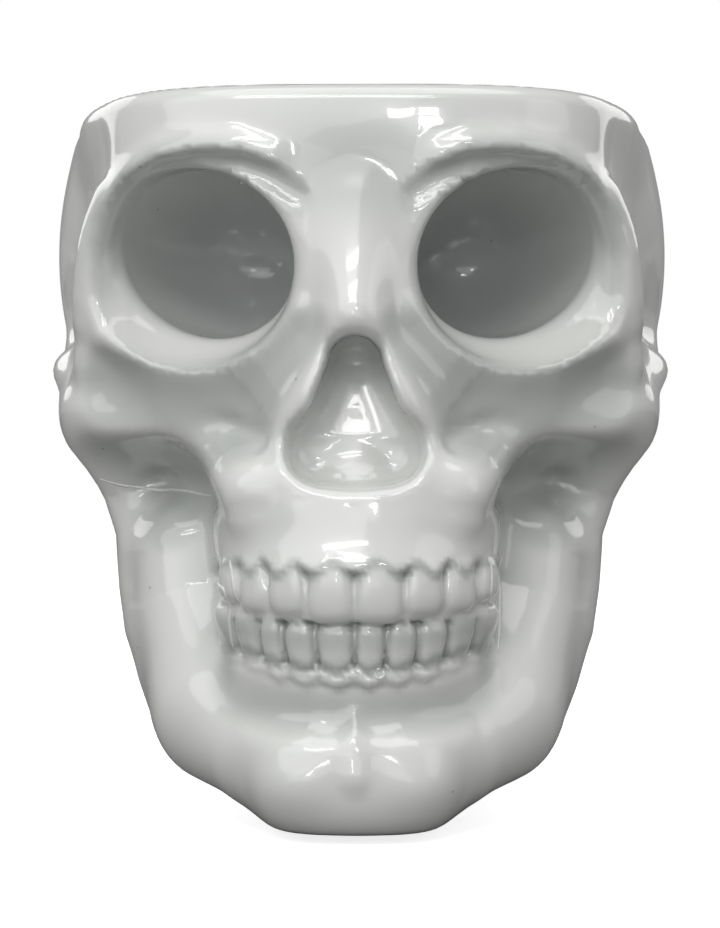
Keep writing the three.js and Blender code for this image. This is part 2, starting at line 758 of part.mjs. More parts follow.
function solidFromGeometry(geometry) {
  const bare = geometry.clone();
  bare.deleteAttribute('normal');
  bare.deleteAttribute('uv');
  const merged = mergeVertices(bare);
  const vertProperties = Float32Array.from(merged.attributes.position.array);
  const triVerts = Uint32Array.from(merged.index.array);
  return new wasm.Manifold(new wasm.Mesh({ numProp: 3, vertProperties, triVerts }));
}

function geometryFromSolid(solid) {
  const { vertProperties, triVerts } = solid.getMesh();
  const geometry = new THREE.BufferGeometry();
  geometry.setAttribute('position', new THREE.BufferAttribute(vertProperties, 3));
  geometry.setIndex(new THREE.BufferAttribute(triVerts, 1));
  geometry.computeVertexNormals();
  return geometry;
}

// Solid of revolution about Z from [radius, level] points
function turned(outline) {
  const profile = outline.map(([radius, level]) => new THREE.Vector2(radius, level));
  return new THREE.LatheGeometry(profile, roundSegments).rotateX(Math.PI / 2);
}

const glaze = { color: 0xf2f3f1, roughness: 0.08, metalness: 0 };
const rubber = { color: 0x8f9496, roughness: 0.7, metalness: 0 };
const felt = { color: 0xd9dbd9, roughness: 0.85, metalness: 0 };

function piece(name, geometry, look) {
  const mesh = new THREE.Mesh(geometry, new THREE.MeshStandardMaterial(look));
  mesh.name = name;
  return mesh;
}

function skullShell() {
  const margin = 2 * cell;
  const low = [-halfWidth - margin, -skullDepth / 2 - margin, standoff - margin];
  const high = [halfWidth + margin, skullDepth / 2 + margin, skullHeight + margin];
  const traced = largestShell(traceSurface(pot, low, high));
  const casting = solidFromTriangles(settle(simplify(traced, skullTriangles), pot));
  const drainDepth = floorThickness + 2 * margin;
  const drain = turned([[0, 0], [drainDiameter / 2, 0], [drainDiameter / 2, drainDepth], [0, drainDepth]]);
  drain.translate(0, drainSetback, standoff - margin);
  return piece('skull_shell', geometryFromSolid(casting.subtract(solidFromGeometry(drain))), glaze);
}

// The stopper's plug fills the hole from above, and its flange lies on the inner floor.
function drainStopper() {
  const plugRadius = drainDiameter / 2 - stopperClearance;
  const flangeRadius = stopperFlangeDiameter / 2;
  const knobRadius = stopperKnobDiameter / 2;
  const edge = stopperEdgeRounding;
  const plugFoot = stopperClearance - floorThickness;
  const knobFoot = stopperClearance + stopperFlangeThickness;
  const top = knobFoot + stopperKnobHeight;
  const geometry = turned([
    [0, plugFoot],
    [plugRadius - edge, plugFoot],
    [plugRadius, plugFoot + edge],
    [plugRadius, stopperClearance],
    [flangeRadius, stopperClearance],
    [flangeRadius, knobFoot - edge],
    [flangeRadius - edge, knobFoot],
    [knobRadius, knobFoot],
    [knobRadius, top - edge],
    [knobRadius - edge, top],
    [0, top],
  ]);
  const mesh = piece('drain_stopper', geometry, rubber);
  mesh.position.set(0, drainSetback, standoff + floorThickness);
  return mesh;
}

function footPad(name, x, y) {
  const radius = padDiameter / 2;
  const edge = padEdgeRounding;
  const geometry = turned([
    [0, 0],
    [radius - edge, 0],
    [radius, edge],
    [radius, padThickness],
    [0, padThickness],
  ]);
  const mesh = piece(name, geometry, felt);
  mesh.position.set(x, y, 0);
  return mesh;
}

const skullPot = new THREE.Group();
skullPot.add(skullShell(), drainStopper());
const padRows = [
  { row: 'front', spacing: frontPadSpacing, placeShare: frontPadPlaceShare },
  { row: 'rear', spacing: rearPadSpacing, placeShare: rearPadPlaceShare },
];
padRows.forEach(({ row, spacing, placeShare }) => {
  skullPot.add(footPad(`foot_pad_${row}_left`, spacing / 2, placeShare * skullDepth));
  skullPot.add(footPad(`foot_pad_${row}_right`, -spacing / 2, placeShare * skullDepth));
});

export default skullPot;
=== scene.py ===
"""A glossy white ceramic skull pot, open at the top, on a pale studio floor.

Lengths are in metres and angles in degrees. The face looks along -Y and +Z is up.
"""

import math

import bpy
import numpy as np
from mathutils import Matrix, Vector


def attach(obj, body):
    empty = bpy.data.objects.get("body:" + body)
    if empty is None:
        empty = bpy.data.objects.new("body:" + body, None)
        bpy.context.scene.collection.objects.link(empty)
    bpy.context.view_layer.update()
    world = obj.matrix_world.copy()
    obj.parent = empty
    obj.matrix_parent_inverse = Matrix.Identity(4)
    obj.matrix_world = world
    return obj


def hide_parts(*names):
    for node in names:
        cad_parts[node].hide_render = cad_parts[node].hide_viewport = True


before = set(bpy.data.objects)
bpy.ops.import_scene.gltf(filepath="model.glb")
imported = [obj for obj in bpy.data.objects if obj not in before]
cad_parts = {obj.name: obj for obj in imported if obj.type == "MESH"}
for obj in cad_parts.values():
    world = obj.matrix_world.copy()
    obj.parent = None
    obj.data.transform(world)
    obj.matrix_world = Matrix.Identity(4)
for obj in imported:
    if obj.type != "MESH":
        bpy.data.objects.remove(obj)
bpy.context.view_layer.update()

# Overall sizes of the pot
SKULL_WIDTH = 0.140
SKULL_DEPTH = 0.165
SKULL_HEIGHT = 0.150
WALL = 0.0055
FLOOR_THICKNESS = 0.0065
STANDOFF = 0.0015
RIM_ROUNDING = 0.004
INNER_RIM_ROUNDING = 0.004
FOOT_ROUNDING = 0.0015
INNER_FLOOR_ROUNDING = 0.005
HOLLOW_BLEND = 0.012
DRAIN_RADIUS = 0.006
DRAIN_LIP_ROUNDING = 0.0008

# Eye sockets, at the dark opening
SOCKET_WIDTH = 0.041
SOCKET_HEIGHT = 0.034
SOCKET_DEPTH = 0.062
SOCKET_SPACING = 0.057
SOCKET_LEVEL = 0.1173
SOCKET_TURN = 18
SOCKET_ROLL = 8
SOCKET_PLACE_SHARE = -0.309
SOCKET_BLEND_SHARE = 0.016

# Nose opening
NOSE_WIDTH = 0.0266
NOSE_TOP_LEVEL = 0.0997
NOSE_LEVEL = 0.080
NOSE_DEPTH = 0.021
NOSE_LIP_ROUNDING = 0.003
LOBE_WIDTH_SHARE = 0.55
LOBE_DROP_SHARE = 0.1
NOSE_TOP_WIDTH_SHARE = 0.2
NOSE_FLOOR_SHARE = 0.74

# Teeth
UPPER_ROW_WIDTH = 0.058
UPPER_ROW_DEPTH = 0.033
LOWER_ROW_WIDTH = 0.055
LOWER_ROW_DEPTH = 0.031
TOOTH_THICKNESS = 0.0084
TOOTH_HEIGHT = 0.012
UPPER_GUM_LEVEL = 0.0548
LOWER_GUM_LEVEL = 0.0335
UPPER_ROW_FRONT_SHARE = -0.47
LOWER_ROW_FRONT_SHARE = -0.453
TOOTH_ROOT_SHARE = 0.06
TOOTH_OVERLAP_SHARE = 0.05
UPPER_TAPER = 0.14
LOWER_TAPER = -0.16
UPPER_LEAN = 0
LOWER_LEAN = 0.28
GUM_SETBACK = 0.0026
UPPER_GUM_RISE, UPPER_GUM_DROP = 0.0008, 0.0021
LOWER_GUM_RISE, LOWER_GUM_DROP = 0.0012, 0.0012
GUM_ROUNDING = 0.0012
GUM_BAND_HEIGHT = 0.014
GUM_BAND_SETBACK = 0.0016
GUM_BAND_ROUNDING = 0.005
GUM_BAND_LEAN = 0.38
UPPER_BACKING_SETBACK = 0.0023
LOWER_BACKING_SETBACK = 0.0033
LOWER_GUM_BEND = 0.0046
MUZZLE_WIDTH = 0.055

# Fineness of the surface: the mouth has the smallest cells, the back the widest
CELL = 0.0011
SIDE_CELL_SHARE = 1.6
TALL_CELL_SHARE = 1.45
DEEP_CELL_SHARE = 1.2
BACK_CELL_SHARE = 3
FINE_HALF_WIDTH = 0.031
FINE_LOW, FINE_HIGH = 0.022, 0.067
WIDENING_START_SHARE, WIDENING_SPAN_SHARE = -0.27, 0.4
BLOCK_CELLS = 5
BLOCK_REACH_MARGIN = 1.35

# The least values that a division or a root is given
LEAST_SUM, LEAST_LENGTH, LEAST_SIZE, LEAST_SLOPE_SQUARE = 1e-12, 1e-9, 1e-6, 0.25

FRAME_SIZES = np.array([SKULL_WIDTH / 2, SKULL_DEPTH, SKULL_HEIGHT])

# Places are shares of half the width, the depth and the height, from the origin. Radii are shares of
# the same three sizes, and the thickness of a limb and each blend are shares of the height.
FORM_SHARES = [
    dict(name="braincase", at=(0, 0.091, 0.813), radii=(1, 0.406, 0.5), blend=0.04),
    dict(name="temples", at=(0, 0.006, 0.867), radii=(0.893, 0.364, 0.333), power=3, blend=0.04),
    dict(name="forehead", at=(0, -0.139, 0.84), radii=(0.8, 0.288, 0.4), power=3, blend=0.053),
    dict(name="cheeks", at=(0, -0.158, 0.643), radii=(0.864, 0.245, 0.143), blend=0.047),
    dict(name="cheekbone", at=(0.636, -0.206, 0.57), radii=(0.243, 0.097, 0.073), blend=0.033),
    dict(
        name="cheek arch", blend=0.033,
        points=[(0.793, -0.206, 0.58), (0.9, -0.073, 0.643), (0.864, 0.03, 0.66)],
        thickness=(0.044, 0.037, 0.04),
    ),
    dict(
        name="outer rim of the socket", blend=0.033,
        points=[(0.764, -0.248, 0.64), (0.764, -0.264, 0.733), (0.721, -0.285, 0.84)],
        thickness=(0.037, 0.033, 0.037),
    ),
    dict(
        name="bridge of the nose", blend=0.047,
        points=[(0, -0.388, 0.827), (0, -0.436, 0.693)],
        thickness=(0.043, 0.04),
    ),
    dict(name="snout", at=(0, -0.297, 0.56), radii=(0.343, 0.179, 0.2), blend=0.04),
    dict(name="upper jaw", at=(0, -0.273, 0.453), radii=(0.407, 0.195, 0.09), power=3, blend=0.033),
    dict(name="core behind the teeth", at=(0, -0.285, 0.28), radii=(0.357, 0.167, 0.133), blend=0.027),
    dict(name="core of the lower face", at=(0, -0.03, 0.373), radii=(0.686, 0.267, 0.32), blend=0.053),
    dict(
        name="edge of the jaw branch", blend=0.06,
        points=[
            (0.789, -0.17, 0.54), (0.706, -0.148, 0.46), (0.663, -0.158, 0.4), (0.65, -0.164, 0.327),
            (0.62, -0.176, 0.267), (0.546, -0.188, 0.2), (0.5, -0.206, 0.15),
        ],
        thickness=(0.041, 0.04, 0.04, 0.041, 0.044, 0.044, 0.043),
    ),
    dict(
        name="jaw from the chin to its angle", blend=0.04,
        points=[
            (0, -0.388, 0.107), (0.143, -0.376, 0.107), (0.279, -0.339, 0.12), (0.4, -0.279, 0.14),
            (0.479, -0.182, 0.2), (0.529, -0.079, 0.267),
        ],
        thickness=(0.083, 0.083, 0.083, 0.082, 0.082, 0.08),
    ),
    dict(name="chin", at=(0, -0.376, 0.091), radii=(0.279, 0.103, 0.089), power=3, blend=0.06),
    dict(name="corner of the chin", at=(0.15, -0.43, 0.083), radii=(0.107, 0.048, 0.037), blend=0.033),
    dict(
        name="middle ridge of the chin", blend=0.02,
        points=[(0, -0.461, 0.167), (0, -0.473, 0.093)],
        thickness=(0.009, 0.015),
    ),
    dict(name="neck", at=(0, 0.006, 0.233), radii=(0.471, 0.327, 0.267), power=3, blend=0.08),
    dict(
        name="upper rim of the socket", blend=0.027,
        points=[
            (0.692, -0.319, 0.853), (0.63, -0.349, 0.88), (0.54, -0.375, 0.9),
            (0.443, -0.391, 0.908), (0.333, -0.4, 0.906), (0.25, -0.402, 0.895),
        ],
        thickness=(0.023, 0.023, 0.025, 0.027, 0.027, 0.027),
    ),
    dict(
        name="lower rim of the socket", blend=0.027,
        points=[
            (0.756, -0.296, 0.784), (0.763, -0.284, 0.723), (0.721, -0.293, 0.673),
            (0.619, -0.339, 0.641), (0.49, -0.372, 0.629), (0.363, -0.393, 0.638),
            (0.254, -0.405, 0.655), (0.175, -0.412, 0.685),
        ],
        thickness=(0.02, 0.023, 0.024, 0.025, 0.025, 0.024, 0.023, 0.02),
    ),
    dict(
        name="flare of the socket", cut=True, at=(0.486, -0.379, 0.751), radii=(0.323, 0.085, 0.127),
        turn=22, blend=0.027,
    ),
    dict(
        name="fold under the brow", cut=True, blend=0.013,
        points=[
            (0.74, -0.33, 0.803), (0.712, -0.341, 0.835), (0.656, -0.366, 0.864),
            (0.561, -0.395, 0.884), (0.443, -0.414, 0.892), (0.327, -0.425, 0.888),
            (0.241, -0.43, 0.873), (0.168, -0.434, 0.851),
        ],
        thickness=(0.012, 0.013, 0.015, 0.016, 0.016, 0.016, 0.015, 0.013),
    ),
    dict(
        name="groove under the socket", cut=True, blend=0.033,
        points=[
            (0.781, -0.329, 0.601), (0.646, -0.37, 0.575), (0.508, -0.403, 0.565),
            (0.398, -0.423, 0.57), (0.296, -0.442, 0.616), (0.195, -0.457, 0.668),
        ],
        thickness=(0.047, 0.053, 0.06, 0.06, 0.04, 0.033),
    ),
    dict(
        name="hollow under the cheekbone", cut=True, blend=0.033,
        points=[(0.786, -0.261, 0.463), (0.586, -0.288, 0.457), (0.443, -0.333, 0.46)],
        thickness=(0.053, 0.063, 0.047),
    ),
    dict(
        name="temple", cut=True, blend=0.047,
        points=[
            (0.954, -0.304, 0.913), (0.979, -0.24, 0.89), (1.026, -0.139, 0.86),
            (1.048, -0.104, 0.794), (1.042, -0.068, 0.724),
        ],
        thickness=(0.087, 0.08, 0.08, 0.08, 0.067),
    ),
    dict(
        name="edge of the temple", blend=0.02,
        points=[
            (0.717, -0.308, 0.858), (0.754, -0.299, 0.815), (0.781, -0.282, 0.757),
            (0.789, -0.269, 0.696),
        ],
        thickness=(0.023, 0.023, 0.023, 0.023),
    ),
    dict(
        name="hollow beside the chin ridge", cut=True, blend=0.027,
        points=[(0.298, -0.463, 0.205), (0.174, -0.476, 0.203), (0.09, -0.485, 0.186)],
        thickness=(0.06, 0.053, 0.04),
    ),
    dict(
        name="fold above the chin", cut=True, blend=0.027,
        points=[(0.314, -0.413, 0.23), (0.181, -0.457, 0.224), (0, -0.468, 0.228)],
        thickness=(0.053, 0.053, 0.053),
    ),
    dict(
        name="hollow above the cheek knob", cut=True, blend=0.02,
        points=[(0.449, -0.378, 0.54), (0.384, -0.377, 0.533), (0.322, -0.419, 0.529)],
        thickness=(0.027, 0.027, 0.027),
    ),
    dict(
        name="cheek knob", blend=0.027,
        points=[
            (0.409, -0.313, 0.522), (0.328, -0.383, 0.483), (0.295, -0.412, 0.459),
            (0.286, -0.413, 0.429), (0.292, -0.334, 0.407),
        ],
        thickness=(0.033, 0.04, 0.04, 0.033, 0.033),
    ),
    dict(
        name="front of the jaw branch", blend=0.06,
        points=[(0.414, -0.285, 0.18), (0.5, -0.224, 0.293), (0.529, -0.212, 0.373)],
        thickness=(0.08, 0.073, 0.063),
    ),
]
MOUND_SHARES = dict(
    points=[(0, -0.376, 0.563), (0, -0.364, 0.493)], thickness=(0.011, 0.067), blend=0.013,
)

# One row of teeth from the middle to one side. Widths are shares of the row's width, and the necks
# and edges are shares of a tooth's height above the gum line of the front teeth.
UPPER_NECK_SHARES = (0.02, -0.01, 0.02, -0.02)
UPPER_EDGE_SHARES = (-0.95, -0.84, -0.82, -0.67)
UPPER_RIGHT_WIDTH_SHARES = (0.152, 0.122, 0.101, 0.072)
UPPER_LEFT_WIDTH_SHARES = (0.145, 0.119, 0.093, 0.072)
LOWER_NECK_SHARES = (0, 0.03, 0.09, 0.21, 0.29)
LOWER_EDGE_SHARES = (0.86, 0.86, 0.90, 1.0, 1.1)
LOWER_RIGHT_WIDTH_SHARES = (0.100, 0.098, 0.095, 0.090, 0.080)
LOWER_LEFT_WIDTH_SHARES = (0.122, 0.102, 0.078, 0.085, 0.076)
UPPER_ARCH = (UPPER_ROW_WIDTH, UPPER_ROW_DEPTH, UPPER_ROW_FRONT_SHARE * SKULL_DEPTH)
LOWER_ARCH = (LOWER_ROW_WIDTH, LOWER_ROW_DEPTH, LOWER_ROW_FRONT_SHARE * SKULL_DEPTH)


def placed(shares):
    return np.array(shares) * FRAME_SIZES


def join(a, b, blend):
    """Smooth union of two distances."""
    near = np.maximum(blend - np.abs(a - b), 0)
    return np.minimum(a, b) - near * near / (4 * blend)


def meet(a, b, blend):
    """Smooth intersection of two distances."""
    return -join(-a, -b, blend)


def blob(p, at, radii, power=2, turn=0, roll=0, taper=0, lean=0):
    """Distance to an ellipsoid, squarer with more power, rolled about Y and turned about the vertical.

    It widens downwards with its taper, and leans forward upwards."""
    x, y, z = p[0] - at[0], p[1] - at[1], p[2] - at[2]
    if roll:
        cos, sin = math.cos(math.radians(roll)), math.sin(math.radians(roll))
        x, z = cos * x + sin * z, cos * z - sin * x
    w = np.abs(z) / radii[2]
    if turn:
        cos, sin = math.cos(math.radians(turn)), math.sin(math.radians(turn))
        x, y = cos * x + sin * y, cos * y - sin * x
    if lean:
        y = y + lean * z
    u = np.abs(x) / radii[0]
    if taper:
        u = u / (1 - taper * z / radii[2])
    v = np.abs(y) / radii[1]
    un, vn, wn = u ** (power - 1), v ** (power - 1), w ** (power - 1)
    size = np.maximum(un * u + vn * v + wn * w, LEAST_SUM) ** (1 / power)
    slope = np.sqrt((un / radii[0]) ** 2 + (vn / radii[1]) ** 2 + (wn / radii[2]) ** 2)
    return (size - 1) * size ** (power - 1) / np.maximum(slope, LEAST_LENGTH)


def limb(p, points, thickness):
    """Distance to a chain of round bars that swell or taper from point to point."""
    nearest = None
    for start, end, first, last in zip(points, points[1:], thickness, thickness[1:]):
        step = np.subtract(end, start)
        d = [p[axis] - start[axis] for axis in range(3)]
        share = (d[0] * step[0] + d[1] * step[1] + d[2] * step[2]) / step.dot(step)
        share = np.clip(share, 0, 1)
        gap = np.sqrt(sum((d[axis] - share * step[axis]) ** 2 for axis in range(3)))
        own = gap - first - share * (last - first)
        nearest = own if nearest is None else np.minimum(nearest, own)
    return nearest


def form_distance(form, p):
    if "points" in form:
        thickness = [share * SKULL_HEIGHT for share in form["thickness"]]
        return limb(p, [placed(point) for point in form["points"]], thickness)
    shape = {key: form[key] for key in ("power", "turn") if key in form}
    return blob(p, placed(form["at"]), placed(form["radii"]), **shape)


def socket_distance(p):
    at = (SOCKET_SPACING / 2, SOCKET_PLACE_SHARE * SKULL_DEPTH, SOCKET_LEVEL)
    radii = (SOCKET_WIDTH / 2, SOCKET_DEPTH / 2, SOCKET_HEIGHT / 2)
    return blob(p, at, radii, turn=SOCKET_TURN, roll=SOCKET_ROLL)


def nose_distance(p):
    """A pear from the front, with a mound left standing low in its middle."""
    x, y, z = p
    bulb = NOSE_WIDTH / 2
    lobe = bulb * LOBE_WIDTH_SHARE
    tip = NOSE_WIDTH * NOSE_TOP_WIDTH_SHARE
    reach = NOSE_TOP_LEVEL - tip - NOSE_LEVEL
    pear_share = np.clip((z - NOSE_LEVEL) / reach, 0, 1)
    body = bulb - lobe / 3
    pear = np.hypot(x, z - NOSE_LEVEL - pear_share * reach) - (body + pear_share * (tip - body))
    low = np.hypot(x - bulb + lobe, z - NOSE_LEVEL + NOSE_WIDTH * LOBE_DROP_SHARE) - lobe
    outline = join(pear, low, lobe / 3)
    depth_share = NOSE_FLOOR_SHARE + (1 - NOSE_FLOOR_SHARE) * pear_share
    back = y + SKULL_DEPTH / 2 - NOSE_DEPTH * depth_share
    pocket = meet(outline, back, NOSE_DEPTH / 3)
    mound = form_distance(MOUND_SHARES, p)
    return meet(pocket, -mound, MOUND_SHARES["blend"] * SKULL_HEIGHT)


def tooth_row(widths, necks, edges, width, depth, front, gum_level, upper):
    """One side's teeth, each turned to face straight out of the row, and the gum's edge along their
    necks with its points between them."""
    def setback(x):
        return depth * (1 - math.sqrt(max(1 - min(abs(x) / (width / 2), 1) ** 2, 0)))

    side = 1 if upper else -1
    gum_rise, gum_drop = (UPPER_GUM_RISE, UPPER_GUM_DROP) if upper else (LOWER_GUM_RISE, LOWER_GUM_DROP)
    inner = 0
    row = []
    gum = []
    for share, neck_share, edge_share in zip(widths, necks, edges):
        breadth = share * width
        x = inner + breadth / 2
        inner += breadth
        rise = setback(x + breadth / 4) - setback(x - breadth / 4)
        turn = math.atan2(rise, breadth / 2)
        neck = gum_level + neck_share * TOOTH_HEIGHT
        edge = gum_level + edge_share * TOOTH_HEIGHT
        root = side * TOOTH_ROOT_SHARE * TOOTH_HEIGHT
        row.append(dict(
            at=(x, front + setback(x), (neck + edge) / 2 + root),
            radii=(
                breadth * (1 / 2 + TOOTH_OVERLAP_SHARE) / math.cos(turn),
                TOOTH_THICKNESS / 2,
                abs(neck - edge) / 2 + abs(root),
            ),
            power=3, turn=math.degrees(turn),
            taper=UPPER_TAPER if upper else LOWER_TAPER, lean=UPPER_LEAN if upper else LOWER_LEAN,
        ))
        for place, drop in ((x, 0), (inner, gum_drop)):
            gum_y = front + setback(place) - TOOTH_THICKNESS / 2 + GUM_SETBACK
            gum.append((place, gum_y, neck + side * (gum_rise - drop)))
    return row, [(0, gum[0][1], gum[0][2] - side * gum_drop), *gum[:-1]]


def arch_distance(p, width, depth, front, setback, low, high, rounding):
    """Distance to a slab with the curve of a row of teeth, set back from the teeth's front."""
    x, y, z = p
    offset = TOOTH_THICKNESS / 2 - setback
    across, along = width / 2 + offset, depth + offset
    u, v = x / across, (y - front - depth) / along
    size = np.maximum(np.hypot(u, v), LEAST_SIZE)
    curve = (size - 1) * size / np.maximum(np.hypot(u / across, v / along), LEAST_LENGTH)
    slab = np.maximum(low - z, z - high)
    return meet(meet(curve, slab, rounding), np.abs(x) - MUZZLE_WIDTH / 2, rounding)


def rows_of(side):
    """The upper and lower teeth of one side: 1 is the viewer's right and -1 the left."""
    upper_widths = UPPER_RIGHT_WIDTH_SHARES if side > 0 else UPPER_LEFT_WIDTH_SHARES
    lower_widths = LOWER_RIGHT_WIDTH_SHARES if side > 0 else LOWER_LEFT_WIDTH_SHARES
    return (
        tooth_row(upper_widths, UPPER_NECK_SHARES, UPPER_EDGE_SHARES, *UPPER_ARCH, UPPER_GUM_LEVEL, True),
        tooth_row(lower_widths, LOWER_NECK_SHARES, LOWER_EDGE_SHARES, *LOWER_ARCH, LOWER_GUM_LEVEL, False),
    )


TOOTH_ROWS = {side: rows_of(side) for side in (1, -1)}
TEETH_LOW, TEETH_HIGH, TEETH_BACK = 0.014, 0.076, -0.03
TOOTH_BLEND = 0.0009


def gums_distance(p):
    """Distance to the two bands of gum and to the backing that fills the gaps between the teeth."""
    x, y, z = p
    bend = LOWER_GUM_BEND * (2 * x / LOWER_ROW_WIDTH) ** 2
    upper = arch_distance(
        (x, y - GUM_BAND_LEAN * (z - UPPER_GUM_LEVEL), z), *UPPER_ARCH,
        GUM_BAND_SETBACK, UPPER_GUM_LEVEL, UPPER_GUM_LEVEL + GUM_BAND_HEIGHT, GUM_BAND_ROUNDING,
    )
    lower = arch_distance(
        (x, y + GUM_BAND_LEAN * (z - LOWER_GUM_LEVEL), z - bend), *LOWER_ARCH,
        GUM_BAND_SETBACK, LOWER_GUM_LEVEL - GUM_BAND_HEIGHT, LOWER_GUM_LEVEL, GUM_BAND_ROUNDING,
    )
    middle = (UPPER_GUM_LEVEL + LOWER_GUM_LEVEL) / 2
    upper_backing = arch_distance(
        p, *UPPER_ARCH, UPPER_BACKING_SETBACK, middle, UPPER_GUM_LEVEL, TOOTH_BLEND,
    )
    leaning = (x, y + LOWER_LEAN * (z - middle + TOOTH_HEIGHT / 2), z)
    lower_backing = arch_distance(
        leaning, *LOWER_ARCH, LOWER_BACKING_SETBACK, LOWER_GUM_LEVEL, middle, TOOTH_BLEND,
    )
    return np.minimum(upper, lower), np.minimum(upper_backing, lower_backing)


# The lip of the upper gum, which stands out over the necks of the teeth
LIP_SETBACK = 0.0006
LIP_HEIGHT = 0.009
LIP_ROUNDING = 0.0020
LIP_LEAN = 0.5
LIP_BLEND = 0.0045
LIP_END_SETBACK = 0.003
LIP_EDGE_BLEND = 0.0015
SCALLOP_STEPS = 8


def scallops(row):
    """The edge of a gum along X, a wave that turns at each tooth and between two teeth."""
    spots = []
    for side in (-1, 1):
        corners = TOOTH_ROWS[side][row][1]
        for start, end in zip(corners[:-1], corners[1:]):
            for t in np.arange(SCALLOP_STEPS + 1) / SCALLOP_STEPS:
                rise = (1 - math.cos(t * math.pi)) / 2
                across = start[0] + t * (end[0] - start[0])
                spots.append((side * across, start[2] + rise * (end[2] - start[2])))
    return np.array(sorted(spots)).T


UPPER_SCALLOPS, LOWER_SCALLOPS = scallops(0), scallops(1)


def lip_distance(p):
    """Distance to the lip of the upper gum."""
    x, y, z = p
    ends = LIP_END_SETBACK * (2 * x / UPPER_ROW_WIDTH) ** 4
    leaning = y - ends - LIP_LEAN * (z - UPPER_GUM_LEVEL)
    above = z - np.interp(x, *UPPER_SCALLOPS)
    return arch_distance((x, leaning, above), *UPPER_ARCH, LIP_SETBACK, 0, LIP_HEIGHT, LIP_ROUNDING)


def with_teeth(outer, p):
    """The face with its gums and teeth, worked out only near them."""
    near = (p[2] > TEETH_LOW) & (p[2] < TEETH_HIGH) & (p[1] < TEETH_BACK)
    local = np.array([p[0][near], p[1][near], p[2][near]])
    gums, backing = gums_distance(local)
    face = join(join(outer[near], gums, GUM_BAND_ROUNDING), lip_distance(local), LIP_BLEND)
    face = join(face, backing, TOOTH_BLEND)
    rows = np.full(local[0].shape, SKULL_HEIGHT, outer.dtype)
    for side, pair in TOOTH_ROWS.items():
        mirrored = (side * local[0], local[1], local[2])
        for teeth, _ in pair:
            for tooth in teeth:
                rows = join(rows, blob(mirrored, **tooth), TOOTH_BLEND)
        lower_roll = pair[1][1]
        rows = join(rows, limb(mirrored, lower_roll, [GUM_ROUNDING] * len(lower_roll)), TOOTH_BLEND)
    result = outer.copy()
    result[near] = join(face, rows, LIP_EDGE_BLEND)
    return result


def skull_sides(p):
    """Distances to the outside of a solid skull with no cut top, and to the hollow inside its wall."""
    mirrored = (np.abs(p[0]), p[1], p[2])
    outer = np.full(p[0].shape, SKULL_HEIGHT, p[0].dtype)
    inner = outer.copy()
    for form in FORM_SHARES:
        own = form_distance(form, mirrored)
        blend = form["blend"] * SKULL_HEIGHT
        if form.get("cut"):
            outer = meet(outer, -own, blend)
            inner = meet(inner, WALL - own, HOLLOW_BLEND)
        else:
            outer = join(outer, own, blend)
            inner = join(inner, own + WALL, blend)
    for own, blend in (
        (socket_distance(mirrored), SOCKET_BLEND_SHARE * SKULL_HEIGHT),
        (nose_distance(mirrored), NOSE_LIP_ROUNDING),
    ):
        outer = meet(outer, -own, blend)
        inner = meet(inner, WALL - own, HOLLOW_BLEND)
    return with_teeth(outer, p), inner


def pot(p):
    """Distance to the surface of the hollow casting, open at the top and drilled for the drain."""
    outer, inner = skull_sides(p)
    x, y, z = p
    floor_level = STANDOFF + FLOOR_THICKNESS
    trimmed = meet(outer, z - SKULL_HEIGHT, RIM_ROUNDING)
    trimmed = meet(trimmed, STANDOFF - z, FOOT_ROUNDING)
    hollow = meet(inner, floor_level - z, INNER_FLOOR_ROUNDING)
    shell = meet(trimmed, -hollow, INNER_RIM_ROUNDING)
    return meet(shell, DRAIN_RADIUS - np.hypot(x, y), DRAIN_LIP_ROUNDING)


def in_chunks(distance, points, chunk=200_000):
    """The distance at many points, a chunk at a time so that the work stays in fast memory."""
    result = np.empty(points.shape[1], np.float32)
    for start in range(0, points.shape[1], chunk):
        part = points[:, start:start + chunk]
        result[start:start + chunk] = distance((part[0], part[1], part[2]))
    return result


def line_from(low, high, step_at):
    """Places from low to past high, each a step after the last."""
    places = [low]
    while places[-1] < high:
        places.append(places[-1] + CELL * step_at(places[-1]))
    return np.array(places, np.float32)


def grid_lines():
    """Where the grid's planes lie: close together at the mouth and wide apart at the back."""
    margin = 3 * CELL

    def across_step(x):
        return 1 if x < FINE_HALF_WIDTH else SIDE_CELL_SHARE

    def depth_step(y):
        share = min(max((y / SKULL_DEPTH - WIDENING_START_SHARE) / WIDENING_SPAN_SHARE, 0), 1)
        return DEEP_CELL_SHARE + (BACK_CELL_SHARE - DEEP_CELL_SHARE) * share

    def height_step(z):
        return 1 if FINE_LOW < z < FINE_HIGH else TALL_CELL_SHARE

    right_half = line_from(0, SKULL_WIDTH / 2 + margin, across_step)
    return [
        np.concatenate([-right_half[:0:-1], right_half]),
        line_from(-SKULL_DEPTH / 2 - margin, SKULL_DEPTH / 2 + margin, depth_step),
        line_from(STANDOFF - margin, SKULL_HEIGHT + margin, height_step),
    ]


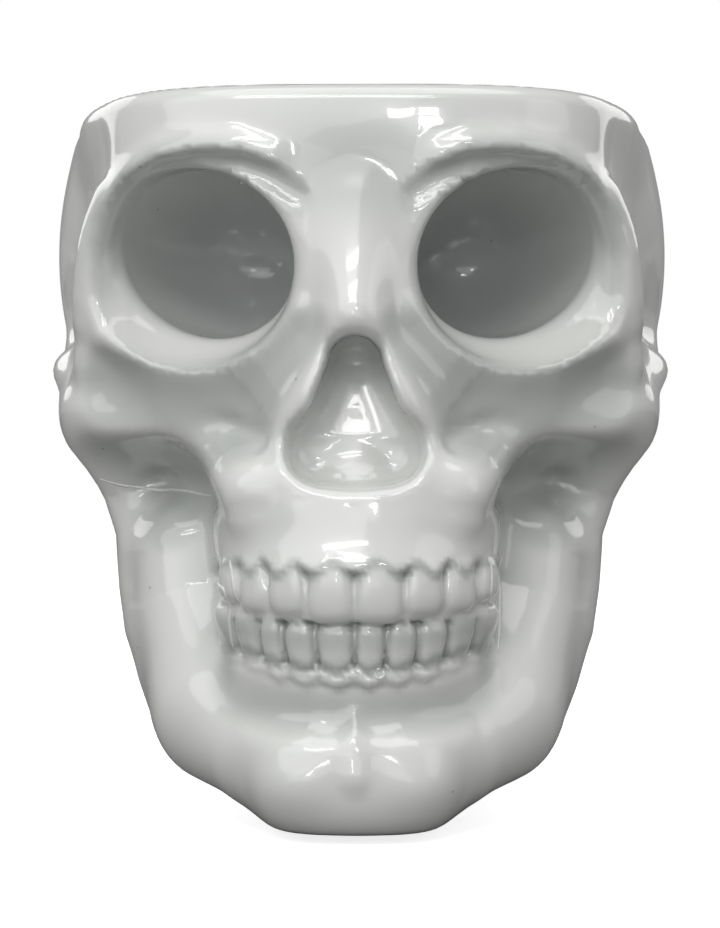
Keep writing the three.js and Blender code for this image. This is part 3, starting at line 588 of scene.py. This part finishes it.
def sample_grid(distance, lines):
    """The distance on the grid. A block far from the surface takes the value at its middle."""
    counts = [len(line) for line in lines]
    blocks = [math.ceil(count / BLOCK_CELLS) for count in counts]
    middles = []
    reach = 0
    for line, number in zip(lines, blocks):
        starts = np.arange(number) * BLOCK_CELLS
        ends = np.minimum(starts + BLOCK_CELLS, len(line) - 1)
        middles.append((line[starts] + line[ends]) / 2)
        reach += np.max(line[ends] - line[starts]) ** 2 / 4
    mesh = np.meshgrid(*middles, indexing="ij")
    coarse = in_chunks(distance, np.array([axis.ravel() for axis in mesh])).reshape(blocks)
    near = np.abs(coarse) < BLOCK_REACH_MARGIN * math.sqrt(reach)
    spread = [
        np.minimum(np.arange(count) // BLOCK_CELLS, number - 1) for count, number in zip(counts, blocks)
    ]
    values = coarse[np.ix_(*spread)]
    wanted = near[np.ix_(*spread)]
    for axis in range(3):
        wanted |= np.roll(wanted, 1, axis)
    index = np.nonzero(wanted)
    points = np.array([line[i] for line, i in zip(lines, index)])
    values[index] = in_chunks(distance, points)
    return values


def surface_net(values, lines):
    """Points and four-sided faces of the surface where the grid's values change sign."""
    inside = values < 0
    corners = [
        (slice(i, i - 1 or None), slice(j, j - 1 or None), slice(k, k - 1 or None))
        for i in (0, 1) for j in (0, 1) for k in (0, 1)
    ]
    count = sum(inside[corner].astype(np.int8) for corner in corners)
    crossed = (count > 0) & (count < len(corners))
    cells = np.array(np.nonzero(crossed))
    index = np.full(crossed.shape, -1, np.int64)
    index[crossed] = np.arange(cells.shape[1])
    total = np.zeros((3, cells.shape[1]))
    hits = np.zeros(cells.shape[1])
    for axis in range(3):
        one, two = (axis + 1) % 3, (axis + 2) % 3
        for first in (0, 1):
            for second in (0, 1):
                start = cells.copy()
                start[one] += first
                start[two] += second
                end = start.copy()
                end[axis] += 1
                a, b = values[tuple(start)], values[tuple(end)]
                crosses = (a < 0) != (b < 0)
                share = np.where(crosses, a / np.where(crosses, a - b, 1), 0)
                for part in range(3):
                    low, high = lines[part][start[part]], lines[part][end[part]]
                    total[part] += np.where(crosses, low + share * (high - low), 0)
                hits += crosses
    points = (total / hits).T
    faces = []
    for axis in range(3):
        one, two = (axis + 1) % 3, (axis + 2) % 3
        low = [slice(None)] * 3
        high = [slice(None)] * 3
        low[axis], high[axis] = slice(None, -1), slice(1, None)
        for other in (one, two):
            low[other] = high[other] = slice(1, -1)
        a, b = inside[tuple(low)], inside[tuple(high)]
        edge = np.array(np.nonzero(a != b))
        outward = a[tuple(edge)]
        edge[one] += 1
        edge[two] += 1
        ring = []
        for first, second in ((-1, -1), (0, -1), (0, 0), (-1, 0)):
            cell = edge.copy()
            cell[one] += first
            cell[two] += second
            ring.append(index[tuple(cell)])
        ring = np.array(ring).T
        faces.append(np.where(outward[:, None], ring, ring[:, ::-1]))
    return points, np.concatenate(faces)


def slopes(distance, points, step=0.0001):
    """The distance and its slope at each point."""
    here = in_chunks(distance, points)
    slope = []
    for axis in range(3):
        moved = points.copy()
        moved[axis] += step
        slope.append((in_chunks(distance, moved) - here) / step)
    return here, np.array(slope)


def settled(distance, points, rounds=3):
    """Moves the points onto the surface and returns them with the surface's normals."""
    points = points.astype(np.float64)
    for _ in range(rounds):
        here, slope = slopes(distance, points)
        square = np.maximum((slope ** 2).sum(0), LEAST_SLOPE_SQUARE)
        move = np.clip(-here / square, -CELL / 3, CELL / 3)
        points = points + move * slope
    here, slope = slopes(distance, points)
    return points, slope / np.maximum(np.linalg.norm(slope, axis=0), LEAST_LENGTH)


def new_object(name, data):
    made = bpy.data.objects.new(name, data)
    bpy.context.scene.collection.objects.link(made)
    return made


def plain_piece(name, points, faces):
    mesh = bpy.data.meshes.new(name)
    mesh.from_pydata(points.tolist(), [], faces)
    mesh.validate()
    mesh.shade_smooth()
    return new_object(name, mesh)


def mesh_from(name, points, faces, normals):
    mesh = bpy.data.meshes.new(name)
    mesh.vertices.add(len(points))
    mesh.vertices.foreach_set("co", np.asarray(points, np.float32).ravel())
    mesh.loops.add(faces.size)
    mesh.loops.foreach_set("vertex_index", faces.astype(np.int32).ravel())
    mesh.polygons.add(len(faces))
    mesh.polygons.foreach_set("loop_start", np.arange(0, faces.size, faces.shape[1], dtype=np.int32))
    mesh.update(calc_edges=True)
    mesh.validate()
    mesh.shade_smooth()
    mesh.normals_split_custom_set_from_vertices(normals)
    return mesh


# How far out of the surface the clay is looked for, to paint shade into creases and hollows
CREASE_REACH = 0.002
HOLLOW_REACH = 0.012

# Where the painted shade in the eye sockets begins and where it is darkest, along Y
SOCKET_MOUTH, SOCKET_END = -0.052, -0.024
SOCKET_FADE = 0.006
SOCKET_FULL_SHARE = 1.5

# The cut forms whose grooves get painted shade, and how far from them it fades out
SHADED_GROOVE_FORMS = (
    "groove under the socket", "fold above the chin", "fold under the brow", "hollow under the cheekbone",
)
GROOVE_SHADE_REACH = 0.005

# Painted shade between the brows, where their overhang shades the glabella
BROW_SHADE_LEVEL = 0.133
BROW_SHADE_WIDTH = 0.017
BROW_SHADE_HEIGHT = 0.011
BROW_SHADE_SHARE = 0.95


def eased(share):
    """A share kept between 0 and 1, with a soft start and a soft end."""
    share = np.clip(share, 0, 1)
    return share * share * (3 - 2 * share)


def socket_depth(points):
    """How deep in an eye socket each point lies, from 0 at the mouth to 1, which sets its painted shade."""
    away = np.abs(socket_distance((np.abs(points[0]), points[1], points[2])))
    deep = np.clip((points[1] - SOCKET_MOUTH) / (SOCKET_END - SOCKET_MOUTH), 0, 1)
    return deep * np.clip(SOCKET_FULL_SHARE - away / SOCKET_FADE, 0, 1)


def painted_groove_shade_share(points):
    """How much painted shade each point gets: near one of the shaded grooves, or in the soft spot between
    the brows.
    """
    mirrored = (np.abs(points[0]), points[1], points[2])
    away = [np.abs(form_distance(form, mirrored)) for form in FORM_SHARES if form["name"] in SHADED_GROOVE_FORMS]
    across, up = points[0] / BROW_SHADE_WIDTH, (points[2] - BROW_SHADE_LEVEL) / BROW_SHADE_HEIGHT
    brow = BROW_SHADE_SHARE * np.exp(-across ** 2 - up ** 2) * (points[1] < SOCKET_MOUTH)
    return np.maximum(eased(1 - np.min(away, axis=0) / GROOVE_SHADE_REACH), brow)


# A painted shadow line along the gums' edges, and on the lower row up between the teeth
GUM_LINE_REACH = 0.0020
UPPER_LINE_DROP, LOWER_LINE_DROP = 0.0005, 0.0020
GUM_LINE_DEPTH_SHARE = 0.35
GROOVE_HEIGHT = 0.0075
GROOVE_REACH_SHARE = 1.4


def segment_distance(points, start, end):
    """Distance to a straight line, where the way to it along Y counts for less."""
    weight = np.array((1, GUM_LINE_DEPTH_SHARE, 1))
    along = (np.array(end) - start) * weight
    away = (points - np.array(start)[:, None]) * weight[:, None]
    t = np.clip((along @ away) / (along @ along), 0, 1)
    return np.linalg.norm(away - along[:, None] * t, axis=0)


def painted_gum_shadow_share(points):
    """How near each point lies to the edge of a gum or to a groove between two lower teeth, where shadow is
    painted.
    """
    x, y, z = points
    behind = y > UPPER_ARCH[2] + UPPER_ROW_DEPTH / 2
    away = [
        np.abs(side * (np.interp(x, *edge) - z) - drop) + behind
        for side, edge, drop in (
            (1, UPPER_SCALLOPS, UPPER_LINE_DROP), (-1, LOWER_SCALLOPS, LOWER_LINE_DROP),
        )
    ]
    for side, rows in TOOTH_ROWS.items():
        for x, y, z in rows[1][1][::2]:
            ends = (side * x, y, z), (side * x, y, z + GROOVE_HEIGHT)
            away.append(segment_distance(points, *ends) * GROOVE_REACH_SHARE)
    return eased(1 - np.min(away, axis=0) / GUM_LINE_REACH)


def skull_object():
    """The pot, which knows at each point how closed in by the clay it is, and the other shares that set its
    painted shade.
    """
    lines = grid_lines()
    values = sample_grid(pot, lines)
    points, faces = surface_net(values, lines)
    points, normals = settled(pot, points.T)
    print("skull faces", len(faces))
    mesh = mesh_from("glazed_skull", points.T, faces, normals.T)
    shares = {
        "depth": socket_depth(points), "painted_groove_shade": painted_groove_shade_share(points), "painted_gum_shadow": painted_gum_shadow_share(points),
    }
    # Painted shade: how closed in by the clay each point is, close by and further off
    for name, reach in (("crease", CREASE_REACH), ("hollow", HOLLOW_REACH)):
        shares[name] = 1 - in_chunks(pot, points + reach * normals) / reach
    for name, share in shares.items():
        attribute = mesh.attributes.new(name, "FLOAT", "POINT")
        attribute.data.foreach_set("value", np.clip(share, 0, 1).astype(np.float32))
    return new_object("glazed_skull", mesh)


# The glaze's tones, and the painted shade laid over them: where each share starts to count, how far, and to
# which tone
PALE_TONES = (0.70, 0.712, 0.685), (0.74, 0.745, 0.725)
PAINTED_SHADE_TONE = (0.30, 0.325, 0.305, 1)
PAINTED_GUM_SHADOW_TONE = (0.27, 0.295, 0.275, 1)
PAINTED_SOCKET_SHADE_TONE = (0.24, 0.27, 0.275, 1)
SPECK_TONE = (0.25, 0.21, 0.17, 1)
PAINTED_SHADES = (
    ("hollow", 0.15, 0.5, PAINTED_SHADE_TONE),
    ("crease", 0.2, 0.4, PAINTED_SHADE_TONE),
    ("painted_groove_shade", 0, 0.5, PAINTED_SHADE_TONE),
    ("painted_gum_shadow", 0, 0.6, PAINTED_GUM_SHADOW_TONE),
    ("depth", 0, 0.62, PAINTED_SOCKET_SHADE_TONE),
)
RAMP_START, RAMP_END = 0.3, 0.7
CLOUD_SCALE, CLOUD_DETAIL = 18, 3
SPECK_SCALE = 75
SPECK_RADIUS, SPECK_EDGE, SPECK_SHARE = 0.016, 0.028, 0.6
PIT_DEPTH, PIT_STRENGTH = 0.0001, 0.5
RIPPLE_SCALE, RIPPLE_DEPTH, RIPPLE_STRENGTH = 75, 0.0004, 0.3
GLAZE_SETTINGS = {
    "Roughness": 0.16, "Coat Weight": 0.8, "Coat Roughness": 0.02, "Coat IOR": 1.5,
}


def material(name):
    made = bpy.data.materials.new(name)
    made.use_nodes = True
    nodes = made.node_tree.nodes
    nodes.clear()
    output = nodes.new("ShaderNodeOutputMaterial")
    shader = nodes.new("ShaderNodeBsdfPrincipled")
    made.node_tree.links.new(shader.outputs["BSDF"], output.inputs["Surface"])
    return made, shader


def add_node(made, kind, inputs=None, **settings):
    node = made.node_tree.nodes.new(kind)
    for key, value in settings.items():
        setattr(node, key, value)
    for key, value in (inputs or {}).items():
        if isinstance(value, bpy.types.NodeSocket):
            made.node_tree.links.new(value, node.inputs[key])
        else:
            node.inputs[key].default_value = value
    return node


def noise(made, scale, detail):
    coordinates = add_node(made, "ShaderNodeTexCoord").outputs["Object"]
    inputs = {"Vector": coordinates, "Scale": scale, "Detail": detail}
    return add_node(made, "ShaderNodeTexNoise", inputs).outputs["Fac"]


def ramp(made, factor, stops):
    node = add_node(made, "ShaderNodeValToRGB", {"Fac": factor})
    while len(node.color_ramp.elements) < len(stops):
        node.color_ramp.elements.new(0.5)
    for element, (position, colour) in zip(node.color_ramp.elements, stops):
        element.position = position
        element.color = (*colour, 1)
    return node.outputs["Color"]


def mixed(made, share, base, other):
    """One colour over another by a share."""
    node = add_node(made, "ShaderNodeMix", {0: share, 6: base, 7: other}, data_type="RGBA")
    return node.outputs[2]


def ranged(made, value, low, high, to_low, to_high):
    inputs = {"Value": value, "From Min": low, "From Max": high, "To Min": to_low, "To Max": to_high}
    return add_node(made, "ShaderNodeMapRange", inputs).outputs["Result"]


def own_value(made, name):
    return add_node(made, "ShaderNodeAttribute", attribute_name=name).outputs["Fac"]


def glaze_material():
    """White glaze with shade painted into the hollows, creases, grooves, eye sockets and gum edges, with a
    few specks and a rippled gloss.
    """
    made, shader = material("white_glaze")
    shade = ramp(
        made, noise(made, CLOUD_SCALE, CLOUD_DETAIL), list(zip((RAMP_START, RAMP_END), PALE_TONES)),
    )
    # Painted shade, one share after another, over the glaze's own cloudy tone
    for name, start, most, tone in PAINTED_SHADES:
        shade = mixed(made, ranged(made, own_value(made, name), start, 1, 0, most), shade, tone)
    coordinates = add_node(made, "ShaderNodeTexCoord").outputs["Object"]
    cells = add_node(made, "ShaderNodeTexVoronoi", {"Vector": coordinates, "Scale": SPECK_SCALE})
    speck = ranged(made, cells.outputs["Distance"], SPECK_RADIUS, SPECK_EDGE, SPECK_SHARE, 0)
    shade = mixed(made, speck, shade, SPECK_TONE)
    made.node_tree.links.new(shade, shader.inputs["Base Color"])
    for name, value in GLAZE_SETTINGS.items():
        shader.inputs[name].default_value = value
    ripple = noise(made, RIPPLE_SCALE, 1)
    pits = add_node(
        made, "ShaderNodeBump", {"Height": speck, "Distance": PIT_DEPTH, "Strength": PIT_STRENGTH},
    )
    bump = add_node(made, "ShaderNodeBump", {
        "Height": ripple, "Distance": RIPPLE_DEPTH, "Strength": RIPPLE_STRENGTH,
        "Normal": pits.outputs["Normal"],
    })
    made.node_tree.links.new(bump.outputs["Normal"], shader.inputs["Normal"])
    made.node_tree.links.new(bump.outputs["Normal"], shader.inputs["Coat Normal"])
    return made


GRAIN_SCALE, GRAIN_DETAIL = 2500, 3
GRAIN_DEPTH, GRAIN_STRENGTH = 0.0003, 0.5
MOTTLE_SCALE, MOTTLE_DETAIL, MOTTLE_SHARE = 900, 4, 0.9


def plain_material(name, colour, roughness):
    made, shader = material(name)
    darker = [MOTTLE_SHARE * part for part in colour]
    mottle = noise(made, MOTTLE_SCALE, MOTTLE_DETAIL)
    tone = ramp(made, mottle, [(RAMP_START, darker), (RAMP_END, colour)])
    made.node_tree.links.new(tone, shader.inputs["Base Color"])
    shader.inputs["Roughness"].default_value = roughness
    grain = noise(made, GRAIN_SCALE, GRAIN_DETAIL)
    inputs = {"Height": grain, "Distance": GRAIN_DEPTH, "Strength": GRAIN_STRENGTH}
    bump = add_node(made, "ShaderNodeBump", inputs)
    made.node_tree.links.new(bump.outputs["Normal"], shader.inputs["Normal"])
    return made


skull = skull_object()
glaze = glaze_material()
skull.data.materials.append(glaze)
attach(skull, "pot")
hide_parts("skull_shell")

# Thin runs of glaze over the clay, each with its radius: the mould's seam and the ends of the rows of teeth
GLAZE_RUNS = {
    "seam on the cheek": (0.0005, [
        (-0.0558, -0.0305, 0.0714), (-0.0527, -0.0314, 0.0703), (-0.0499, -0.0314, 0.0697),
        (-0.0446, -0.0309, 0.0691), (-0.0400, -0.0322, 0.0691), (-0.0350, -0.0375, 0.0685),
        (-0.0304, -0.0423, 0.0677),
    ]),
    "row end, left": (0.0007, [
        (-0.0281, -0.0485, 0.0554), (-0.0261, -0.0675, 0.0495), (-0.0254, -0.0656, 0.0434),
        (-0.0246, -0.0635, 0.0373),
    ]),
    "second, left": (0.0006, [
        (-0.0246, -0.0681, 0.0554), (-0.0239, -0.0696, 0.0496), (-0.0232, -0.0692, 0.0452),
    ]),
    "row end, right": (0.0007, [
        (0.0292, -0.0469, 0.0554), (0.0294, -0.0485, 0.0485), (0.0292, -0.0524, 0.0426),
        (0.0286, -0.0573, 0.0364),
    ]),
    "second, right": (0.0006, [
        (0.0266, -0.0657, 0.0550), (0.0270, -0.0661, 0.0494), (0.0269, -0.0644, 0.0450),
    ]),
}
BUBBLE_PLACE = (0.0049, -0.0772, 0.0337)
BUBBLE_RADIUS = 0.0009
RUN_STEPS = 28
RUN_SIDES = 8
RUN_SINK_SHARE = 0.55
RUN_TIP_ANGLE = 0.12
RUN_TAPER_POWER = 0.6
SETTLE_ROUNDS = 6


def swept(points, normals, radii, closed=False):
    """Points and faces of a tube along a path, sunk into the clay by a share of its radius."""
    points = points - normals * (RUN_SINK_SHARE * radii)[:, None]
    ahead = np.roll(points, -1, 0) - np.roll(points, 1, 0)
    if not closed:
        ahead[0], ahead[-1] = points[1] - points[0], points[-1] - points[-2]
    across = np.cross(ahead, normals)
    across /= np.linalg.norm(across, axis=1)[:, None]
    turns = np.arange(RUN_SIDES) * (2 * math.pi / RUN_SIDES)
    rings = [
        point + radius * (np.cos(turns)[:, None] * side + np.sin(turns)[:, None] * normal)
        for point, radius, side, normal in zip(points, radii, across, normals)
    ]
    faces = []
    for i in range(len(points) - (0 if closed else 1)):
        here, there = i * RUN_SIDES, (i + 1) % len(points) * RUN_SIDES
        for k in range(RUN_SIDES):
            after = (k + 1) % RUN_SIDES
            faces.append((here + k, there + k, there + after, here + after))
    if not closed:
        faces.append(tuple(range(RUN_SIDES)))
        faces.append(tuple(range(len(points) * RUN_SIDES - 1, (len(points) - 1) * RUN_SIDES - 1, -1)))
    return np.concatenate(rings), faces


def glaze_runs():
    parts = []
    for radius, route in GLAZE_RUNS.values():
        corners = np.array(route)
        length = np.concatenate([[0], np.cumsum(np.linalg.norm(np.diff(corners, axis=0), axis=1))])
        steps = np.linspace(0, length[-1], RUN_STEPS)
        path = np.array([np.interp(steps, length, corners[:, axis]) for axis in range(3)])
        path, normals = settled(pot, path, SETTLE_ROUNDS)
        angles = np.linspace(RUN_TIP_ANGLE, math.pi - RUN_TIP_ANGLE, RUN_STEPS)
        taper = np.sin(angles) ** RUN_TAPER_POWER
        parts.append(swept(path.T, normals.T, radius * taper))
    turns = np.arange(RUN_STEPS) * (2 * math.pi / RUN_STEPS)
    circle = np.array([np.cos(turns), 0 * turns, np.sin(turns)])
    ring, normals = settled(pot, np.array(BUBBLE_PLACE)[:, None] + BUBBLE_RADIUS * circle, SETTLE_ROUNDS)
    parts.append(swept(ring.T, normals.T, np.full(RUN_STEPS, BUBBLE_RADIUS / 3), closed=True))
    points, faces = [], []
    for own_points, own_faces in parts:
        start = sum(len(part) for part in points)
        points.append(own_points)
        faces += [tuple(start + i for i in face) for face in own_faces]
    return plain_piece("glaze_runs", np.concatenate(points), faces)


RANDOM_SEED = 7


def turned_piece(name, profile, at, segments, wear_share):
    """A solid of revolution from (radius, height) points, worn in at random by up to a share."""
    random = np.random.default_rng(RANDOM_SEED)
    angles = np.arange(segments) * (2 * math.pi / segments)
    rings = []
    for radius, height in profile[1:-1]:
        own = radius * (1 - wear_share * random.random(segments))
        rings.append(np.stack([own * np.cos(angles), own * np.sin(angles), np.full(segments, height)], 1))
    points = np.concatenate([[(0, 0, profile[0][1])], *rings, [(0, 0, profile[-1][1])]]) + np.array(at)
    last = len(points) - 1
    faces = []
    for i in range(segments):
        j = (i + 1) % segments
        faces.append((0, 1 + j, 1 + i, 1 + i))
        for ring in range(len(rings) - 1):
            low, high = 1 + ring * segments, 1 + (ring + 1) * segments
            faces.append((low + i, low + j, high + j, high + i))
        top = 1 + (len(rings) - 1) * segments
        faces.append((top + i, top + j, last, last))
    return plain_piece(name, points, [tuple(dict.fromkeys(face)) for face in faces])


def rounded(corners, steps=5):
    """A profile with each corner (radius, height, rounding) turned into a short curve."""
    path = [corners[0][:2]]
    for before, (x, z, size), after in zip(corners, corners[1:], corners[2:]):
        if size == 0:
            path.append((x, z))
            continue
        here = np.array((x, z))
        ends = []
        for other in (before, after):
            way = np.array(other[:2]) - here
            ends.append(here + way * (size / np.linalg.norm(way)))
        for step in range(steps + 1):
            t = step / steps
            point = (1 - t) ** 2 * ends[0] + 2 * t * (1 - t) * here + t ** 2 * ends[1]
            path.append(tuple(point))
    path.append(corners[-1][:2])
    return path


def replacing_piece(name, node, body, profile, at, segments, wear_share, look):
    made = turned_piece(name, profile, at, segments, wear_share)
    made.data.materials.append(look)
    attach(made, body)
    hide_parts(node)


runs = glaze_runs()
runs.data.materials.append(glaze)
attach(runs, "pot")

# Drain stopper, from its foot to its knob: a plug, a flange with a ridge and a waisted knob
STOPPER_COLOUR, STOPPER_ROUGHNESS = (0.28, 0.29, 0.30), 0.6
STOPPER_SEGMENTS, STOPPER_WEAR_SHARE = 72, 0.004
PLUG_RADIUS = 0.0057
FLANGE_RADIUS = 0.010
KNOB_RADIUS = 0.0035
STOPPER_CLEARANCE = 0.0003
FLANGE_THICKNESS = 0.0024
KNOB_HEIGHT = 0.006
RIDGE_HEIGHT = 0.0005
RIDGE_OUTER_RADIUS = 0.0078
RIDGE_INNER_RADIUS = 0.0062
RIDGE_SLOPE = 0.0004
NECK_FOOT_RADIUS = 0.0028
NECK_RADIUS, NECK_HEIGHT = 0.0025, 0.0022
KNOB_EDGE_HEIGHT = 0.0034
PLUG_FOOT = STANDOFF + STOPPER_CLEARANCE
FLANGE_FOOT = STANDOFF + FLOOR_THICKNESS + STOPPER_CLEARANCE
FLANGE_TOP = FLANGE_FOOT + FLANGE_THICKNESS
FLANGE_FACE = FLANGE_TOP - RIDGE_HEIGHT
KNOB_TOP = FLANGE_TOP + KNOB_HEIGHT
PLUG_ROUNDING = 0.0009
CORNER_ROUNDING = 0.0002
FLANGE_FOOT_ROUNDING, FLANGE_EDGE_ROUNDING = 0.0004, 0.0008
RIDGE_FOOT_ROUNDING = 0.0003
NECK_FOOT_ROUNDING, NECK_ROUNDING = 0.0008, 0.0010
KNOB_EDGE_ROUNDING, KNOB_ROUNDING = 0.0006, 0.0014
stopper_profile = rounded([
    (0, PLUG_FOOT, 0),
    (PLUG_RADIUS, PLUG_FOOT, PLUG_ROUNDING),
    (PLUG_RADIUS, FLANGE_FOOT, CORNER_ROUNDING),
    (FLANGE_RADIUS, FLANGE_FOOT, FLANGE_FOOT_ROUNDING),
    (FLANGE_RADIUS, FLANGE_FACE, FLANGE_EDGE_ROUNDING),
    (RIDGE_OUTER_RADIUS, FLANGE_FACE, RIDGE_FOOT_ROUNDING),
    (RIDGE_OUTER_RADIUS - RIDGE_SLOPE, FLANGE_TOP, CORNER_ROUNDING),
    (RIDGE_INNER_RADIUS + RIDGE_SLOPE, FLANGE_TOP, CORNER_ROUNDING),
    (RIDGE_INNER_RADIUS, FLANGE_FACE, RIDGE_FOOT_ROUNDING),
    (NECK_FOOT_RADIUS, FLANGE_FACE, NECK_FOOT_ROUNDING),
    (NECK_RADIUS, FLANGE_TOP + NECK_HEIGHT, NECK_ROUNDING),
    (KNOB_RADIUS, FLANGE_TOP + KNOB_EDGE_HEIGHT, KNOB_EDGE_ROUNDING),
    (KNOB_RADIUS, KNOB_TOP, KNOB_ROUNDING),
    (0, KNOB_TOP, 0),
])
replacing_piece(
    "rubber_stopper", "drain_stopper", "stopper", stopper_profile, (0, 0, 0),
    STOPPER_SEGMENTS, STOPPER_WEAR_SHARE, plain_material("grey_rubber", STOPPER_COLOUR, STOPPER_ROUGHNESS),
)

# Pressed felt pads, a little frayed at the edge
PAD_COLOUR, PAD_ROUGHNESS = (0.68, 0.68, 0.66), 0.9
PAD_SEGMENTS, PAD_WEAR_SHARE = 96, 0.02
PAD_RADIUS = 0.005
PAD_THICKNESS = 0.0012
PAD_HOLLOW = 0.00004
PAD_HOLLOW_SHARE, PAD_TOP_SHARE = 0.6, 0.5
PAD_ROUNDING, PAD_FOOT_ROUNDING = 0.0002, 0.0004
PAD_SPACING = 0.026
PAD_PLACE_SHARES = {"front": -0.182, "rear": 0.179}
pad_profile = rounded([
    (0, 0, 0),
    (PAD_RADIUS * PAD_HOLLOW_SHARE, PAD_HOLLOW, PAD_ROUNDING),
    (PAD_RADIUS, 0, PAD_FOOT_ROUNDING),
    (PAD_RADIUS, PAD_THICKNESS, PAD_ROUNDING),
    (PAD_RADIUS * PAD_TOP_SHARE, PAD_THICKNESS, PAD_ROUNDING),
    (0, PAD_THICKNESS, 0),
])
felt = plain_material("pale_felt", PAD_COLOUR, PAD_ROUGHNESS)
for row, place_share in PAD_PLACE_SHARES.items():
    for side, x in (("left", PAD_SPACING / 2), ("right", -PAD_SPACING / 2)):
        replacing_piece(
            f"felt_pad_{row}_{side}", f"foot_pad_{row}_{side}", "pot", pad_profile,
            (x, place_share * SKULL_DEPTH, 0), PAD_SEGMENTS, PAD_WEAR_SHARE, felt,
        )

# Stage: a floor that is grey to all but the camera, and a white world that fills the shadows a little
HALF_FLOOR = 3
FLOOR_GLOW = 0.8
FLOOR_ROUGHNESS = 0.9
FLOOR_TONES = (0.24, 0.24, 0.24), (0.8, 0.8, 0.8)
FILL_STRENGTH = 0.28


def floor_material():
    """A pale floor that the camera sees as white, but for the object's shadow."""
    made, shader = material("studio_floor")
    seen = add_node(made, "ShaderNodeLightPath").outputs["Is Camera Ray"]
    tone = ramp(made, seen, list(enumerate(FLOOR_TONES)))
    made.node_tree.links.new(tone, shader.inputs["Base Color"])
    shader.inputs["Roughness"].default_value = FLOOR_ROUGHNESS
    shader.inputs["Specular IOR Level"].default_value = 0
    shader.inputs["Emission Color"].default_value = (1, 1, 1, 1)
    glow = add_node(made, "ShaderNodeMath", {0: seen, 1: FLOOR_GLOW}, operation="MULTIPLY")
    made.node_tree.links.new(glow.outputs["Value"], shader.inputs["Emission Strength"])
    return made


def studio_floor():
    mesh = bpy.data.meshes.new("studio_floor")
    corners = [(x * HALF_FLOOR, y * HALF_FLOOR, 0) for x, y in ((-1, -1), (1, -1), (1, 1), (-1, 1))]
    mesh.from_pydata(corners, [], [(0, 1, 2, 3)])
    mesh.materials.append(floor_material())
    return new_object("studio_floor", mesh)


def studio_world():
    """White where the camera looks past the object, and a weak fill light for the rest."""
    world = bpy.data.worlds.new("studio")
    world.use_nodes = True
    world.node_tree.nodes.clear()
    seen = add_node(world, "ShaderNodeLightPath").outputs["Is Camera Ray"]
    fill, shown = [
        add_node(world, "ShaderNodeBackground", {"Color": (1, 1, 1, 1), "Strength": strength})
        for strength in (FILL_STRENGTH, 1)
    ]
    inputs = {"Fac": seen, 1: fill.outputs["Background"], 2: shown.outputs["Background"]}
    mix = add_node(world, "ShaderNodeMixShader", inputs)
    add_node(world, "ShaderNodeOutputWorld", {"Surface": mix.outputs["Shader"]})
    return world


def area_light(name, at, aim, size, power, shape="RECTANGLE"):
    data = bpy.data.lights.new(name, "AREA")
    data.shape = shape
    data.size, data.size_y = size
    data.energy = power
    lamp = new_object(name, data)
    lamp.location = at
    lamp.rotation_euler = (Vector(aim) - Vector(at)).to_track_quat("-Z", "Y").to_euler()


studio_floor()
bpy.context.scene.world = studio_world()

# Soft boxes all round: place, size and power
MIDDLE = Vector((0, 0, SKULL_HEIGHT / 2))
SOFTBOXES = {
    "key_softbox": ((-0.55, -1.0, 0.75), (1.6, 1.1), 5.85),
    "overhead_softbox": ((0, -0.45, 1.25), (1.4, 0.9), 5.5),
    "side_softbox": ((1.1, -0.6, 0.5), (0.7, 0.9), 1.2),
    "low_softbox": ((-0.2, -1.35, 0.1), (1.5, 0.6), 2.15),
    "back_softbox_0": ((-1.1, 1.0, 0.8), (1.2, 1.0), 3.5),
    "back_softbox_2": ((1.1, 1.0, 0.8), (1.2, 1.0), 3.5),
}
for name, (at, size, power) in SOFTBOXES.items():
    area_light(name, at, MIDDLE, size, power, "ELLIPSE")

# Two tubes, one above the other, high up in front. They draw fine lines along the brows and the rims
TUBE_PLACE = Vector((-0.15, -1.05, 0.95))
TUBE_SPACING = 0.2
TUBE_SIZE = (0.7, 0.06)
TUBE_POWER = 1.2
for i in (-1, 1):
    at = TUBE_PLACE + Vector((0, 0, i * TUBE_SPACING / 2))
    area_light(f"tube_{i + 1}", at, MIDDLE, TUBE_SIZE, TUBE_POWER)

# Two windows behind the camera, one high and one to the left: place, pane width and height, power, and
# which of the four panes shine
HIGH_WINDOW = (Vector((0.13, -1.33, 0.49)), 0.09, 0.046, 0.26, ((-1, 1), (1, 1), (1, -1)))
SIDE_WINDOW = (Vector((-0.16, -1.38, 0.21)), 0.045, 0.045, 0.08, ((-1, 1), (1, 1), (1, -1), (-1, -1)))
BAR_SHARE = 0.25
for name, (at, width, height, power, panes) in (("high", HIGH_WINDOW), ("side", SIDE_WINDOW)):
    for i, j in panes:
        shift = Vector((i * width, 0, j * height)) * ((1 + BAR_SHARE) / 2)
        area_light(f"{name}_pane_{i + 1}_{j + 1}", at + shift, MIDDLE + shift, (width, height), power)

# The photograph's frame: 928 pixels high, seen with a focal length of 2348 pixels
FRAME_HEIGHT_PIXELS = 928
FOCAL_PIXELS = 2348
CAMERA_TURN = 0.9
CAMERA_DISTANCE = 0.525
CAMERA_SHIFT = -0.00008
CAMERA_PIVOT = Vector((0, -0.007, 0.0744))
SENSOR_WIDTH = 36
CLIP_START, CLIP_END = 0.01, 20


def photo_camera():
    turn = math.radians(CAMERA_TURN)
    forward = Vector((-math.sin(turn), math.cos(turn), 0))
    right = Vector((math.cos(turn), math.sin(turn), 0))
    data = bpy.data.cameras.new("camera")
    data.sensor_width = SENSOR_WIDTH
    data.lens = SENSOR_WIDTH * FOCAL_PIXELS / FRAME_HEIGHT_PIXELS
    data.clip_start, data.clip_end = CLIP_START, CLIP_END
    camera = new_object("camera", data)
    camera.location = CAMERA_PIVOT - CAMERA_DISTANCE * forward + CAMERA_SHIFT * right
    camera.rotation_euler = forward.to_track_quat("-Z", "Y").to_euler()
    return camera


bpy.context.scene.camera = photo_camera()
bpy.context.scene.view_settings.view_transform = "Standard"
